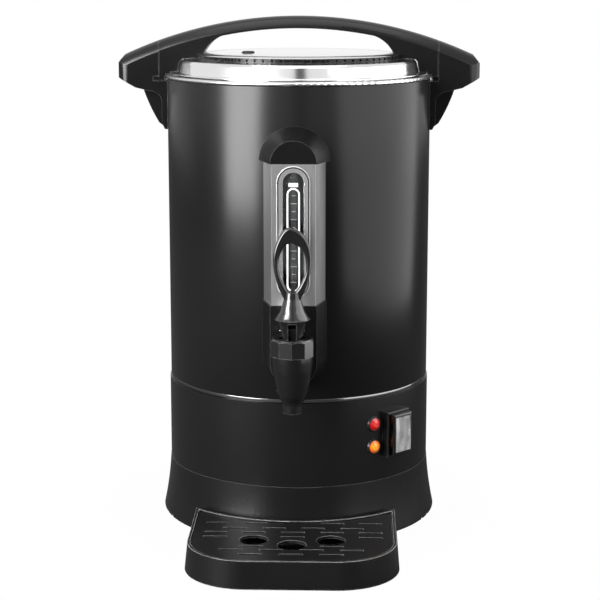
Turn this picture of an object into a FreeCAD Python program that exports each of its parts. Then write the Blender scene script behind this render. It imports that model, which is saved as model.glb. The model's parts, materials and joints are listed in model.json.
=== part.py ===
# Coffee urn: a double-walled percolator with a twist-lock lid, a sight gauge,
# a lever tap and a drip tray that slides out at the front.
# Millimetres, +Z up, the front faces -Y. Everything is drawn about the barrel's axis
# and set over the middle of its own footprint when it is written out.
import FreeCAD
import Part
import math
import os

V = FreeCAD.Vector
UP = V(0, 0, 1)
ACROSS = V(1, 0, 0)
BACK = V(0, 1, 0)

# stand
stand_gap = 1.5
skirt_height = 48.0
skirt_top_r = 113.6
skirt_bottom_r = 119.8
skirt_hollow = 0.8
skirt_wall = 2.6
skirt_shelf_width = 9.0
skirt_lip_height = 4.0
plate_rise = 5.0
plate_thickness = 1.5
plate_r = 108.0
foot_r = 9.0
foot_circle_r = 92.0
foot_count = 4
foot_angle = 45.0
notch_width = 6.0
notch_height = 2.4
notch_angles = (66.0, 72.0, 108.0, 114.0)

# lower housing
housing_r = 113.3
housing_height = 71.5
sheet = 1.0
housing_flange = 9.0
seam_height = 3.2
seam_recess = 1.3

# jacket and vessel
jacket_r = 112.4
jacket_height = 255.8
jacket_sheet = 0.8
vessel_r = 105.0
vessel_wall = 1.0
vessel_floor_rise = 4.0
rim_bead_r = 1.7
rim_bead_out = 0.7

# lid
lid_gap = 0.8
lid_flange_r = 109.5
lid_sheet = 1.0
lid_wall_bottom_r = 102.5
lid_wall_top_r = 100.5
lid_wall_height = 8.5
lid_shoulder_r = 90.0
lid_shoulder_rise = 3.0
vent_ring_r = 86.0
vent_ring_wall = 9.0
vent_ring_height = 3.2
vent_slot_count = 72
vent_slot_width = 2.6
vent_slot_depth = 2.0
top_disc_r = 88.0
top_disc_rise = 1.6
lid_plug_depth = 7.0
lid_plug_gap = 1.2
lid_screw_r = 1.8
lid_screw_head_r = 3.0
lid_screw_head = 1.8
lid_screw_length = 9.0
lid_screw_inset = 4.5

# arch handle and side handles
arch_top_z = 432.3
arch_r = 356.0
grip_half_width = 14.0
grip_bevel = 9.0
grip_thickness = 10.2
arch_under_r = 330.0
arch_throat_x = 77.0
arch_foot_inner_x = 82.0
lock_r = 119.6
lock_gap = 0.6
tongue_reach = 4.4
tongue_root = 5.0
tongue_height = 3.4
tongue_gap = 0.5
slot_end_wall = 2.0
foot_bottom_z = 381.6
handle_reach = 154.0
handle_end_top_z = 392.5
handle_end_bottom_z = 380.5
handle_chamfer = 6.5
handle_corner_r = 9.0
handle_under_z = 368.9
bracket_wall = 4.2
bracket_bottom_z = 336.7
web_half_width = 7.0
handle_screw_r = 2.0
handle_screw_head_r = 3.6
handle_screw_head = 2.2
handle_screw_length = 6.5
handle_screw_spread = 18.0
handle_screw_z = 352.0

# gauge
gauge_depth = 24.6
gauge_base_width = 50.0
gauge_face_width = 35.0
gauge_bottom_z = 208.0
gauge_top_z = 321.2
gauge_sheet = 1.0
cap_base_r = 27.6
cap_face_r = 18.5
fairing_round_z = 160.0
fairing_wall = 2.5
fairing_out = 1.2
fairing_reach = 40.0
window_width = 19.0
window_bottom_z = 217.5
window_top_z = 316.0
frame_width = 26.4
frame_height = 1.2
backplate_thickness = 1.2
backplate_set = 16.6
tube_r = 4.4
tube_bore_r = 3.2
tube_set = 11.0
lens_width = 10.6
lens_thickness = 1.4
lens_bottom_z = 220.0
lens_top_z = 311.0
seal_length = 8.0
tee_half_length = 4.5
tee_wall = 1.3
tee_gap = 0.2

# tap
tap_stand = 23.0
outlet_z = 126.5
nozzle_r = 8.2
nozzle_bore_r = 6.0
nozzle_length = 8.0
tap_body_r = 16.4
tap_body_top_z = 173.0
chamber_r = 12.4
chamber_low_r = 8.6
chamber_floor_z = 142.0
chamber_full_z = 161.0
shank_z = 152.5
shank_r = 9.0
shank_bore_r = 6.4
shank_end = 94.0
shank_nut_r = 14.0
shank_nut_length = 6.0
gasket_r = 14.5
gasket_thickness = 1.6
collar_top_z = 187.0
collar_r = 17.3
collar_flat_count = 10
collar_bore_r = 11.4
collar_wall_z = 176.0
seat_r = 7.8
seat_thickness = 3.0
stem_r = 4.0
stem_disc_r = 9.2
stem_head_thickness = 6.2
stem_head_depth = 7.0
stem_head_room = 10.0
pin_r = 1.5
pin_z = 193.0
pin_gap = 0.05
lever_top_z = 274.4
lever_loop_width = 30.0
lever_loop_z = 248.0
lever_hole_width = 21.5
lever_hole_top_z = 262.3
lever_hole_bottom_z = 223.1
lever_neck_r = 6.8
lever_neck_z = 217.6
lever_flare_r = 14.2
lever_flare_z = 201.0
lever_block_top_r = 11.4
lever_block_bottom_r = 8.2
lever_block_z = 186.0
lever_slot_width = 6.8
lever_half_thickness = 4.2
spring_wire_r = 0.6
spring_r = 7.0
spring_end_gap = 0.05
seat_lift = 0.05

# lamps, switch and inlet on the lower housing
lamp_angle = 35.4
heating_lamp_z = 98.8
ready_lamp_z = 79.4
lamp_bezel_r = 6.8
lamp_lens_r = 5.2
lamp_stand = 1.6
lamp_barrel_r = 5.0
lamp_barrel_length = 16.0
switch_angle = 46.6
switch_z = 88.8
switch_width = 26.0
switch_height = 38.6
switch_stand = 6.0
switch_rim = 3.0
switch_body_width = 21.5
switch_body_height = 34.0
switch_body_depth = 17.0
rocker_gap = 0.6
rocker_tilt = 8.0
rocker_pin_r = 1.2
rocker_pin_gap = 0.05
rocker_end_gap = 2.2
rocker_pivot_y = 0.0
switch_end_margin = 3.5
cover_width = 22.0
cover_height = 29.0
cover_stand = 5.5
cover_wall = 1.0
inlet_z = 82.0
inlet_width = 31.0
inlet_height = 25.0
inlet_recess_width = 24.4
inlet_recess_height = 16.6
inlet_depth = 20.0
inlet_recess_depth = 16.0
inlet_stand = 2.5
inlet_pin = 2.0

# heating, inside the lower housing
element_r = 62.0
element_tube_r = 3.6
thermostat_r = 9.0
thermostat_height = 12.0
terminal_width = 30.0
terminal_depth = 16.0
terminal_height = 14.0

# percolator parts inside the vessel
pump_foot_r = 38.0
pump_foot_height = 7.0
pump_tube_r = 5.0
pump_tube_bore_r = 4.0
pump_tube_top = 8.0
basket_r = 78.0
basket_height = 62.0
basket_wall = 0.8
basket_drop = 24.0
basket_hole_r = 2.5
spreader_rim = 4.0
spreader_hole_r = 2.0

# drip tray
tray_front = 224.0
tray_half_width = 86.0
tray_height = 22.6
tray_wall = 2.4
tray_floor = 2.0
tray_corner_r = 51.0
tray_draft = 2.4
tray_skirt_gap = 0.8
tray_rail_width = 12.0
tray_rail_reach = 16.0
tray_rail_rise = 0.8
tray_rail_height = 3.4
tray_rail_gap = 0.4
grille_gap = 0.5
grille_thickness = 2.4
grille_drop = 1.4
cup_hole_r = 11.6
cup_hole_spread = 31.0
cup_hole_y = 168.0
cup_hole_middle_y = 179.5
slot_length = 18.5
slot_width = 2.8

# heights and radii that follow from the sizes above
skirt_top_z = stand_gap + skirt_height
housing_top_z = skirt_top_z + housing_height
jacket_bottom_z = housing_top_z + seam_height
jacket_top_z = jacket_bottom_z + jacket_height
rim_top_z = jacket_top_z + 2 * rim_bead_r
vessel_floor_z = jacket_bottom_z + vessel_floor_rise
lid_flange_z = rim_top_z + lid_gap
lid_wall_top_z = lid_flange_z + lid_sheet + lid_wall_height
lid_shoulder_z = lid_wall_top_z + lid_shoulder_rise
vent_top_z = lid_shoulder_z + vent_ring_height
plate_z = stand_gap + plate_rise
face_y = -(jacket_r + gauge_depth)
tube_y = face_y + tube_set
tap_reach = tap_stand - face_y
arch_centre_z = arch_top_z - arch_r
inlet_back = housing_r + inlet_stand
footprint_shift = (tray_front - inlet_back) / 2


# An upright cylinder about the line through x, y.
def post(r, bottom, top, x=0.0, y=0.0):
    return Part.makeCylinder(r, top - bottom, V(x, y, bottom))


# An upright round tube about the barrel's axis.
def pipe(outer, inner, bottom, top):
    return post(outer, bottom, top).cut(post(inner, bottom - 1, top + 1))


# A block between two corners.
def block(x0, x1, y0, y1, z0, z1):
    return Part.makeBox(x1 - x0, y1 - y0, z1 - z0, V(x0, y0, z0))


# A closed wire. A step is the next corner, or a pair: a point on the arc and the arc's end.
def outline(start, steps):
    edges = []
    here = start
    for step in steps:
        if isinstance(step, tuple):
            edges.append(Part.Arc(here, step[0], step[1]).toShape())
            here = step[1]
        else:
            edges.append(Part.LineSegment(here, step).toShape())
            here = step
    if here.distanceToPoint(start) > 1e-6:
        edges.append(Part.LineSegment(here, start).toShape())
    return Part.Wire(edges)


# A solid turned about the barrel's axis from corners of radius and height.
def turned(corners):
    points = [V(r, 0, z) for r, z in corners]
    return Part.Face(outline(points[0], points[1:])).revolve(V(0, 0, 0), UP, 360)


# The same about an upright line at the tap.
def turned_at_tap(corners):
    solid = turned(corners)
    solid.translate(V(0, -tap_reach, 0))
    return solid


# A side outline in X and Z, drawn out along Y from y0 to y1.
def slab(start, steps, y0, y1):
    face = Part.Face(outline(start, steps))
    solid = face.extrude(V(0, y1 - y0, 0))
    solid.translate(V(0, y0, 0))
    return solid


# A solid drawn facing the front at the origin is stood on the housing:
# its own -Y looks outward at this angle from the front, and its origin goes to radius, height.
def stood_on_housing(solid, angle, radius, height):
    placed = solid.copy()
    placed.translate(V(0, -radius, height))
    placed.rotate(V(0, 0, 0), UP, angle)
    return placed


def base_skirt():
    middle_r = (skirt_top_r + skirt_bottom_r) / 2 - skirt_hollow
    middle_z = stand_gap + skirt_height / 2
    edge = 2.0
    top = V(skirt_top_r, 0, skirt_top_z)
    bottom = V(skirt_bottom_r, 0, stand_gap + edge)
    steps = [
        (V(middle_r, 0, middle_z), bottom),
        (V(skirt_bottom_r - 0.3 * edge, 0, stand_gap + 0.3 * edge), V(skirt_bottom_r - edge, 0, stand_gap)),
        V(skirt_bottom_r - skirt_wall - edge, 0, stand_gap),
        (V(middle_r - skirt_wall, 0, middle_z), V(skirt_top_r - skirt_wall, 0, skirt_top_z - skirt_wall)),
        V(skirt_top_r - skirt_shelf_width, 0, skirt_top_z - skirt_wall),
        V(skirt_top_r - skirt_shelf_width, 0, skirt_top_z + skirt_lip_height),
        V(housing_r - sheet - skirt_wall, 0, skirt_top_z + skirt_lip_height),
        V(housing_r - sheet - skirt_wall, 0, skirt_top_z),
    ]
    skirt = Part.Face(outline(top, steps)).revolve(V(0, 0, 0), UP, 360)
    ledge = pipe(skirt_bottom_r - skirt_wall, plate_r - 6, plate_z + plate_thickness, plate_z + plate_thickness + 2)
    skirt = skirt.fuse(ledge)
    notch = block(
        -notch_width / 2, notch_width / 2, -skirt_bottom_r - 1, -plate_r, stand_gap - 1, stand_gap + notch_height
    )
    for angle in notch_angles:
        for side in (1, -1):
            cutter = notch.copy()
            cutter.rotate(V(0, 0, 0), UP, side * angle)
            skirt = skirt.cut(cutter)
    for side in (1, -1):
        skirt = skirt.cut(tray_rail(side * tray_half_width / 2, tray_rail_gap, stand_gap - 1))
    return skirt


# One of the two tongues that guide the tray under the skirt, grown by a clearance.
def tray_rail(x, gap, bottom):
    half = tray_rail_width / 2 + gap
    rear = math.sqrt(skirt_bottom_r**2 - x**2) - tray_rail_reach
    top = stand_gap + tray_rail_rise + tray_rail_height + gap
    return block(x - half, x + half, -skirt_bottom_r - 6, -rear + gap, bottom, top)


def bottom_plate():
    plate = post(plate_r, plate_z, plate_z + plate_thickness)
    slot = block(-1.5, 1.5, 24, 60, plate_z - 1, plate_z + plate_thickness + 1)
    for i in range(12):
        cutter = slot.copy()
        cutter.rotate(V(0, 0, 0), UP, 30 * i)
        plate = plate.cut(cutter)
    return plate


def foot(index):
    angle = foot_angle + index * 360.0 / foot_count
    pad = Part.makeCone(foot_r - 1.0, foot_r, plate_z, V(0, -foot_circle_r, 0))
    pad = pad.cut(post(3.0, -1, 2.5, 0, -foot_circle_r))
    pad.rotate(V(0, 0, 0), UP, angle)
    return pad


def base_housing():
    shell = pipe(housing_r, housing_r - sheet, skirt_top_z, housing_top_z)
    flange = pipe(housing_r - sheet / 2, housing_r - housing_flange, housing_top_z - sheet, housing_top_z)
    shell = shell.fuse(flange)
    lamp_hole = Part.makeCylinder(lamp_barrel_r + 0.1, 20, V(0, 10, 0), V(0, -1, 0))
    for height in (heating_lamp_z, ready_lamp_z):
        shell = shell.cut(stood_on_housing(lamp_hole, lamp_angle, housing_r, height))
    w = switch_body_width / 2 + 0.2
    h = switch_body_height / 2 + 0.2
    shell = shell.cut(stood_on_housing(block(-w, w, -8, 12, -h, h), switch_angle, housing_r, switch_z))
    w = inlet_width / 2 - 2.5 + 0.2
    h = inlet_height / 2 - 2.5 + 0.2
    return shell.cut(block(-w, w, housing_r - 12, housing_r + 5, inlet_z - h, inlet_z + h))


def seam_ring():
    outer = housing_r - seam_recess
    return pipe(outer, housing_r - housing_flange, housing_top_z, jacket_bottom_z)


def outer_jacket():
    shell = pipe(jacket_r, jacket_r - jacket_sheet, jacket_bottom_z, jacket_top_z)
    inner = jacket_r - jacket_sheet / 2
    shell = shell.fuse(
        pipe(inner, housing_r - housing_flange, jacket_bottom_z, jacket_bottom_z + jacket_sheet)
    )
    shell = shell.cut(tap_bore(shank_r + 0.2))
    for side in (1, -1):
        for screw_hole in handle_screw_lines(handle_screw_r + 0.2, side):
            shell = shell.cut(screw_hole)
    return shell


# A level cylinder along the tap's shank, from the tap into the vessel.
def tap_bore(r):
    return Part.makeCylinder(r, tap_reach - shank_end + 20, V(0, -tap_reach, shank_z), BACK)


def inner_vessel():
    bead = jacket_r - rim_bead_r + rim_bead_out
    bead_z = jacket_top_z + rim_bead_r
    floor = vessel_floor_z
    inner = vessel_r - vessel_wall
    steps = [
        V(vessel_r - 6, 0, floor),
        (V(vessel_r - 1.76, 0, floor + 1.76), V(vessel_r, 0, floor + 6)),
        V(vessel_r, 0, bead_z),
        V(bead - rim_bead_r, 0, bead_z),
        (V(bead, 0, bead_z - rim_bead_r), V(bead + rim_bead_r, 0, bead_z)),
        (V(bead, 0, bead_z + rim_bead_r), V(bead - rim_bead_r, 0, bead_z + 0.6 * rim_bead_r)),
        V(inner, 0, bead_z + 0.6 * rim_bead_r),
        V(inner, 0, floor + 6 + vessel_wall),
        (V(inner - 1.46, 0, floor + vessel_wall + 1.46), V(inner - 5, 0, floor + vessel_wall)),
        V(0, 0, floor + vessel_wall),
    ]
    pot = Part.Face(outline(V(0, 0, floor), steps)).revolve(V(0, 0, 0), UP, 360)
    return pot.cut(tap_bore(shank_r + 0.2))


# The grip's full body: its section is domed, and it follows the arch's long curve.
def grip_body():
    edge_r = arch_r - grip_bevel
    low_r = arch_r - 110
    w = grip_half_width
    start = V(0, -w, arch_centre_z + low_r)
    steps = [
        V(0, -w, arch_centre_z + edge_r),
        (V(0, -0.62 * w, arch_centre_z + arch_r - 0.3 * grip_bevel), V(0, 0, arch_centre_z + arch_r)),
        (V(0, 0.62 * w, arch_centre_z + arch_r - 0.3 * grip_bevel), V(0, w, arch_centre_z + edge_r)),
        V(0, w, arch_centre_z + low_r),
    ]
    section = Part.Face(outline(start, steps))
    axis_point = V(0, 0, arch_centre_z)
    section.rotate(axis_point, BACK, -32)
    return section.revolve(axis_point, BACK, 64)


# The height of the arch's underside at a distance from the middle.
def underside_z(x):
    under = arch_top_z - grip_thickness
    return under - arch_under_r + math.sqrt(arch_under_r**2 - x**2)


def lid_handle():
    x = arch_throat_x
    throat_start = x - 13
    gap = 0.4
    reach = lock_r + 5
    wall_r = lid_wall_bottom_r + gap
    shoulder_z = lid_shoulder_z + gap
    half = [
        V(arch_foot_inner_x, 0, shoulder_z),
        V(lid_shoulder_r + 1, 0, shoulder_z),
        V(lid_wall_top_r - 2.0 + gap, 0, lid_wall_top_z + 2.2 + gap),
        V(lid_wall_top_r + 0.6 + gap, 0, lid_wall_top_z),
        V(wall_r + 0.4, 0, foot_bottom_z),
        V(reach, 0, foot_bottom_z),
        V(reach, 0, arch_top_z + 5),
    ]
    left = [V(-p.x, 0, p.z) for p in reversed(half)]
    throat_bend = V(x - 3.5, 0, underside_z(throat_start) - 5.5)
    steps = (
        half[1:]
        + left
        + [
            (V(-throat_bend.x, 0, throat_bend.z), V(-throat_start, 0, underside_z(throat_start))),
            (V(0, 0, arch_top_z - grip_thickness), V(throat_start, 0, underside_z(throat_start))),
            (throat_bend, half[0]),
        ]
    )
    side_view = slab(half[0], steps, -grip_half_width - 1, grip_half_width + 1)
    arch = grip_body().common(side_view)
    arch = arch.common(post(lock_r - lock_gap, foot_bottom_z - 1, arch_top_z + 1))
    for side in (1, -1):
        arch = arch.fuse(lock_tongue(side))
    arch = arch.cut(lid_clearance(gap))
    for side in (1, -1):
        screw_top = lid_shoulder_z - lid_sheet + lid_screw_length - 1
        arch = arch.cut(post(lid_screw_r, lid_shoulder_z - 2, screw_top, side * lid_screw_x(), 0))
    return arch


def lid_screw_x():
    return arch_foot_inner_x + lid_screw_inset


# The lid's own outer form, grown by a clearance, which the arch's feet are hollowed to.
def lid_clearance(gap):
    form = turned(
        [
            (0, foot_bottom_z - 2),
            (lid_wall_bottom_r + gap, foot_bottom_z - 2),
            (lid_wall_bottom_r + gap, lid_flange_z + lid_sheet),
            (lid_wall_top_r + gap, lid_wall_top_z),
            (lid_wall_top_r - 2 + gap, lid_wall_top_z + 2),
            (lid_shoulder_r, lid_shoulder_z),
            (0, lid_shoulder_z),
        ]
    )
    rim_r = jacket_r + rim_bead_out + gap
    form = form.fuse(post(lid_flange_r + gap, foot_bottom_z - 2, lid_flange_z + lid_sheet + gap))
    return form.fuse(post(rim_r, foot_bottom_z - 2, rim_top_z + gap))


# The lug at the end of the arch that turns into a side handle.
def lock_tongue(side):
    outer = lock_r + tongue_reach
    inner = lock_r - tongue_root
    ring = pipe(outer, inner, foot_bottom_z - tongue_height, foot_bottom_z)
    ring = ring.fuse(pipe(lock_r - lock_gap, inner, foot_bottom_z - 0.5, foot_bottom_z + 1))
    x0 = min(side * inner, side * (outer + 2)) - 3
    x1 = max(side * inner, side * (outer + 2)) + 3
    w = grip_half_width
    stop = w - slot_end_wall - tongue_gap
    y0 = -stop if side > 0 else -w
    y1 = w if side > 0 else stop
    return ring.common(block(x0, x1, y0, y1, foot_bottom_z - tongue_height - 1, foot_bottom_z + 2))


# The right-hand side handle. Its slot is open at the rear, and closed at the front.
def right_handle():
    x_in = jacket_r - 6
    reach = handle_reach
    wall_x = jacket_r + bracket_wall
    main = [
        V(reach, 0, handle_end_top_z),
        V(reach - handle_chamfer, 0, handle_end_top_z + 1.3 * handle_chamfer),
        V(reach - handle_chamfer, 0, arch_top_z + 5),
        V(x_in, 0, arch_top_z + 5),
        V(x_in, 0, bracket_bottom_z),
        V(wall_x - 2.5, 0, bracket_bottom_z),
        V(wall_x, 0, bracket_bottom_z + 5),
        V(wall_x, 0, handle_under_z - 9),
        (V(wall_x + 2.6, 0, handle_under_z - 2.8), V(wall_x + 9, 0, handle_under_z)),
        V(reach - 15, 0, handle_under_z + 3.2),
        V(reach, 0, handle_end_bottom_z),
    ]
    w = grip_half_width
    body = grip_body().common(slab(main[0], main[1:], -w - 1, w + 1))
    web = slab(
        V(wall_x - 1, 0, bracket_bottom_z + 2),
        [
            V(wall_x + 3, 0, bracket_bottom_z + 5),
            (V(wall_x + 9.5, 0, bracket_bottom_z + 17), V(wall_x + 16, 0, handle_under_z + 1)),
            V(wall_x - 1, 0, handle_under_z + 1),
        ],
        -web_half_width,
        web_half_width,
    )
    body = body.fuse(web)
    body = body.common(plan_outline(reach))
    body = body.cut(post(jacket_r, bracket_bottom_z - 1, foot_bottom_z))
    body = body.cut(post(lock_r, foot_bottom_z - tongue_height - tongue_gap, arch_top_z + 6))
    slot_outer = lock_r + tongue_reach + tongue_gap
    slot = pipe(slot_outer, jacket_r, foot_bottom_z - tongue_height - tongue_gap, foot_bottom_z + tongue_gap)
    closed_end = -w + slot_end_wall
    body = body.cut(slot.common(block(0, reach, closed_end, w + 1, bracket_bottom_z, arch_top_z)))
    for screw_line in handle_screw_lines(handle_screw_r, 1):
        body = body.cut(screw_line)
    return body.removeSplitter()


# The side handle's outline from above, with rounded outer corners.
def plan_outline(reach):
    w = grip_half_width
    r = handle_corner_r
    k = r * (1 - math.sqrt(0.5))
    z0 = bracket_bottom_z - 1
    start = V(jacket_r - 10, -w, z0)
    steps = [
        V(reach - r, -w, z0),
        (V(reach - k, -w + k, z0), V(reach, -w + r, z0)),
        V(reach, w - r, z0),
        (V(reach - k, w - k, z0), V(reach - r, w, z0)),
        V(jacket_r - 10, w, z0),
    ]
    return Part.Face(outline(start, steps)).extrude(V(0, 0, arch_top_z - z0 + 10))


# Level lines along the handle screws, one above the other.
def handle_screw_lines(r, side):
    lines = []
    for offset in (-0.5, 0.5):
        z = handle_screw_z + offset * handle_screw_spread
        start = side * (jacket_r - jacket_sheet - handle_screw_head)
        lines.append(Part.makeCylinder(r, handle_screw_length + handle_screw_head, V(start, 0, z), V(side, 0, 0)))
    return lines


def handle_screws():
    screws = []
    for side in (1, -1):
        for line in handle_screw_lines(handle_screw_r, side):
            z = line.CenterOfMass.z
            start = side * (jacket_r - jacket_sheet - handle_screw_head - 0.1)
            head = Part.makeCylinder(handle_screw_head_r, handle_screw_head, V(start, 0, z), V(side, 0, 0))
            screws.append(line.fuse(head))
    return Part.makeCompound(screws)


def lid_pan():
    inner_plug = vessel_r - vessel_wall - lid_plug_gap
    t = lid_sheet
    pan = turned(
        [
            (inner_plug - t, lid_flange_z - lid_plug_depth),
            (inner_plug, lid_flange_z - lid_plug_depth),
            (inner_plug, lid_flange_z),
            (lid_flange_r, lid_flange_z),
            (lid_flange_r, lid_flange_z + t),
            (lid_wall_bottom_r, lid_flange_z + t),
            (lid_wall_top_r, lid_wall_top_z),
            (lid_wall_top_r - 2.0, lid_wall_top_z + 2.0),
            (lid_shoulder_r, lid_shoulder_z),
            (vent_ring_r - vent_ring_wall, lid_shoulder_z),
            (vent_ring_r - vent_ring_wall, lid_shoulder_z - t),
            (lid_shoulder_r - 0.5, lid_shoulder_z - t),
            (lid_wall_top_r - 2.0 - 0.7 * t, lid_wall_top_z + 2.0 - t),
            (lid_wall_top_r - t, lid_wall_top_z - 0.4),
            (inner_plug - t, lid_flange_z + t),
        ]
    )
    for side in (1, -1):
        pan = pan.cut(post(lid_screw_r + 0.1, lid_shoulder_z - 4, lid_shoulder_z + 2, side * lid_screw_x(), 0))
    return pan


def lid_vent_ring():
    ring = pipe(vent_ring_r, vent_ring_r - vent_ring_wall, lid_shoulder_z, vent_top_z)
    slot = block(
        -vent_slot_width / 2,
        vent_slot_width / 2,
        vent_ring_r - vent_slot_depth,
        vent_ring_r + 1,
        lid_shoulder_z + 0.8,
        vent_top_z - 0.6,
    )
    cutters = []
    for i in range(vent_slot_count):
        cutter = slot.copy()
        cutter.rotate(V(0, 0, 0), UP, (i + 0.5) * 360.0 / vent_slot_count)
        cutters.append(cutter)
    ring = ring.cut(Part.makeCompound(cutters))
    return ring.cut(arch_foot_notches())


# Room in the vent ring and the top disc for the two feet of the arch.
def arch_foot_notches():
    w = grip_half_width + 0.5
    z0 = lid_shoulder_z - 1
    z1 = vent_top_z + 8
    x0 = arch_foot_inner_x - 2.5
    return block(x0, x0 + 30, -w, w, z0, z1).fuse(block(-x0 - 30, -x0, -w, w, z0, z1))


def lid_top():
    r = top_disc_r
    dome = turned(
        [
            (0, vent_top_z),
            (r - 0.6, vent_top_z),
            (r, vent_top_z + 0.5),
            (r - 0.8, vent_top_z + 1.0),
            (r * 0.5, vent_top_z + 1.0 + 0.75 * top_disc_rise),
            (0, vent_top_z + 1.0 + top_disc_rise),
        ]
    )
    hollow = turned(
        [
            (0, vent_top_z - 1),
            (r - 14, vent_top_z - 1),
            (r - 14, vent_top_z + 0.4),
            (0, vent_top_z + top_disc_rise - 0.2),
        ]
    )
    return dome.cut(hollow).cut(arch_foot_notches())


def lid_seal():
    plug = vessel_r - vessel_wall - lid_plug_gap
    z = lid_flange_z - 0.6 * lid_plug_depth
    return pipe(plug + lid_plug_gap - 0.3, plug, z, z + 2.4)


def lid_screws():
    screws = []
    for side in (1, -1):
        x = side * lid_screw_x()
        z = lid_shoulder_z - lid_sheet
        head = post(lid_screw_head_r, z - lid_screw_head, z, x, 0)
        screws.append(head.fuse(post(lid_screw_r, z - 1, z + lid_screw_length - 1, x, 0)))
    return Part.makeCompound(screws)


# Plan section of the gauge and fairing: a channel with two sloping cheeks.
def channel_prism(inset, depth_inset, bottom, top):
    base = gauge_base_width / 2 - inset
    face = gauge_face_width / 2 - inset
    y_face = face_y + depth_inset
    y_bend = -(jacket_r - 2.6)
    points = [V(-base, y_bend, bottom), V(-face, y_face, bottom), V(face, y_face, bottom), V(base, y_bend, bottom)]
    points.append(points[0])
    return Part.Face(Part.makePolygon(points)).extrude(V(0, 0, top - bottom))


def gauge_cover():
    shell = channel_prism(0, 0, gauge_bottom_z, gauge_top_z)
    shell = shell.cut(channel_prism(1.3 * gauge_sheet, gauge_sheet, gauge_bottom_z - 1, gauge_top_z + 1))
    window = capsule(window_width, window_bottom_z, window_top_z, face_y - 5, face_y + 5)
    return shell.cut(window).cut(post(jacket_r, gauge_bottom_z - 1, gauge_top_z + 1))


# An upright slot shape with round ends, drawn out from y0 to y1.
def capsule(width, bottom, top, y0, y1):
    r = width / 2
    start = V(-r, 0, bottom + r)
    steps = [
        (V(0, 0, bottom), V(r, 0, bottom + r)),
        V(r, 0, top - r),
        (V(0, 0, top), V(-r, 0, top - r)),
    ]
    return slab(start, steps, y0, y1)


def gauge_frame():
    margin = (frame_width - window_width) / 2
    outer = capsule(frame_width, window_bottom_z - margin, window_top_z + margin, face_y - frame_height, face_y)
    inner = capsule(window_width - 2.4, window_bottom_z + 1.2, window_top_z - 1.2, face_y - 5, face_y + 5)
    rear = capsule(window_width - 0.2, window_bottom_z + 0.1, window_top_z - 0.1, face_y, face_y + 2.5)
    return outer.fuse(rear).cut(inner)


def gauge_backplate():
    y0 = face_y + backplate_set
    plate = block(-15, 15, y0, y0 + backplate_thickness, gauge_bottom_z + 0.5, gauge_top_z - 0.5)
    return plate


def gauge_lens():
    margin = 2.0
    y0 = face_y + 0.4
    plate = capsule(window_width - 2.6, window_bottom_z + 1.3, window_top_z - 1.3, y0, y0 + lens_thickness)
    rib = capsule(lens_width, lens_bottom_z, lens_top_z, y0 - 0.9, y0)
    rib = rib.cut(capsule(lens_width - margin, lens_bottom_z + 1, lens_top_z - 1, y0 - 2, y0 + 2))
    return plate.fuse(rib)


def gauge_tube():
    tube = post(tube_r, tube_bottom_z(), tube_top_z(), 0, tube_y)
    return tube.cut(post(tube_bore_r, tube_bottom_z() - 1, tube_top_z() + 1, 0, tube_y))


def tube_bottom_z():
    return shank_z + shank_r + 14


def tube_top_z():
    return gauge_top_z + 6


def gauge_tee():
    y0 = tube_y - tee_half_length
    y1 = tube_y + tee_half_length
    outer = shank_r + tee_wall
    barrel = Part.makeCylinder(outer, y1 - y0, V(0, y0, shank_z), BACK)
    socket = post(tube_r + 2.6, shank_z, tube_bottom_z() + seal_length, 0, tube_y)
    tee = barrel.fuse(socket)
    tee = tee.cut(Part.makeCylinder(shank_r + tee_gap, 4 * tee_half_length, V(0, tube_y - 2 * tee_half_length, shank_z), BACK))
    tee = tee.cut(post(tube_r + 1.0, tube_bottom_z(), tube_bottom_z() + seal_length + 1, 0, tube_y))
    return tee.cut(post(tube_bore_r, shank_z + shank_r - 2, tube_bottom_z() + 1, 0, tube_y))


# Rubber sleeves that hold the glass: one in the tee, one in the cap.
def gauge_seal(top):
    z0 = tube_top_z() - seal_length if top else tube_bottom_z()
    sleeve = post(tube_r + 1.0, z0, z0 + seal_length, 0, tube_y)
    return sleeve.cut(post(tube_r, z0 - 1, z0 + seal_length + 1, 0, tube_y))


# A half cone lying on the jacket: round-ended outline that narrows from the jacket to the face.
def half_round(base_r, face_r, z, upward):
    y0 = -(jacket_r - 4)
    length = y0 - face_y
    cone = Part.makeCone(base_r, face_r, length, V(0, y0, z), V(0, -1, 0))
    z0 = z if upward else z - base_r - 1
    return cone.common(block(-base_r - 1, base_r + 1, face_y - 1, y0 + 1, z0, z0 + base_r + 1))


def gauge_cap():
    cap = half_round(cap_base_r + 1.2, cap_face_r, gauge_top_z, True)
    cap = cap.cut(post(jacket_r, gauge_top_z - 1, gauge_top_z + cap_base_r + 5))
    return cap.cut(post(tube_r + 1.0, gauge_top_z - 1, tube_top_z(), 0, tube_y))


def tap_fairing():
    base_r = gauge_base_width / 2 + fairing_out
    face_r = gauge_face_width / 2 + fairing_out
    straight = channel_prism(-fairing_out, 0, fairing_round_z, gauge_bottom_z)
    round_end = half_round(base_r, face_r, fairing_round_z, False)
    body = straight.fuse(round_end)
    hollow = channel_prism(fairing_wall, fairing_wall, fairing_round_z, gauge_bottom_z + 1)
    hollow = hollow.fuse(half_round(base_r - fairing_wall, face_r - fairing_wall, fairing_round_z, False))
    hollow = hollow.common(block(-fairing_reach, fairing_reach, face_y + fairing_wall, 0, 0, gauge_bottom_z + 1))
    body = body.cut(hollow).cut(post(jacket_r, fairing_round_z - fairing_reach, gauge_bottom_z + 1))
    return body.cut(tap_bore(shank_r + 0.3))


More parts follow.
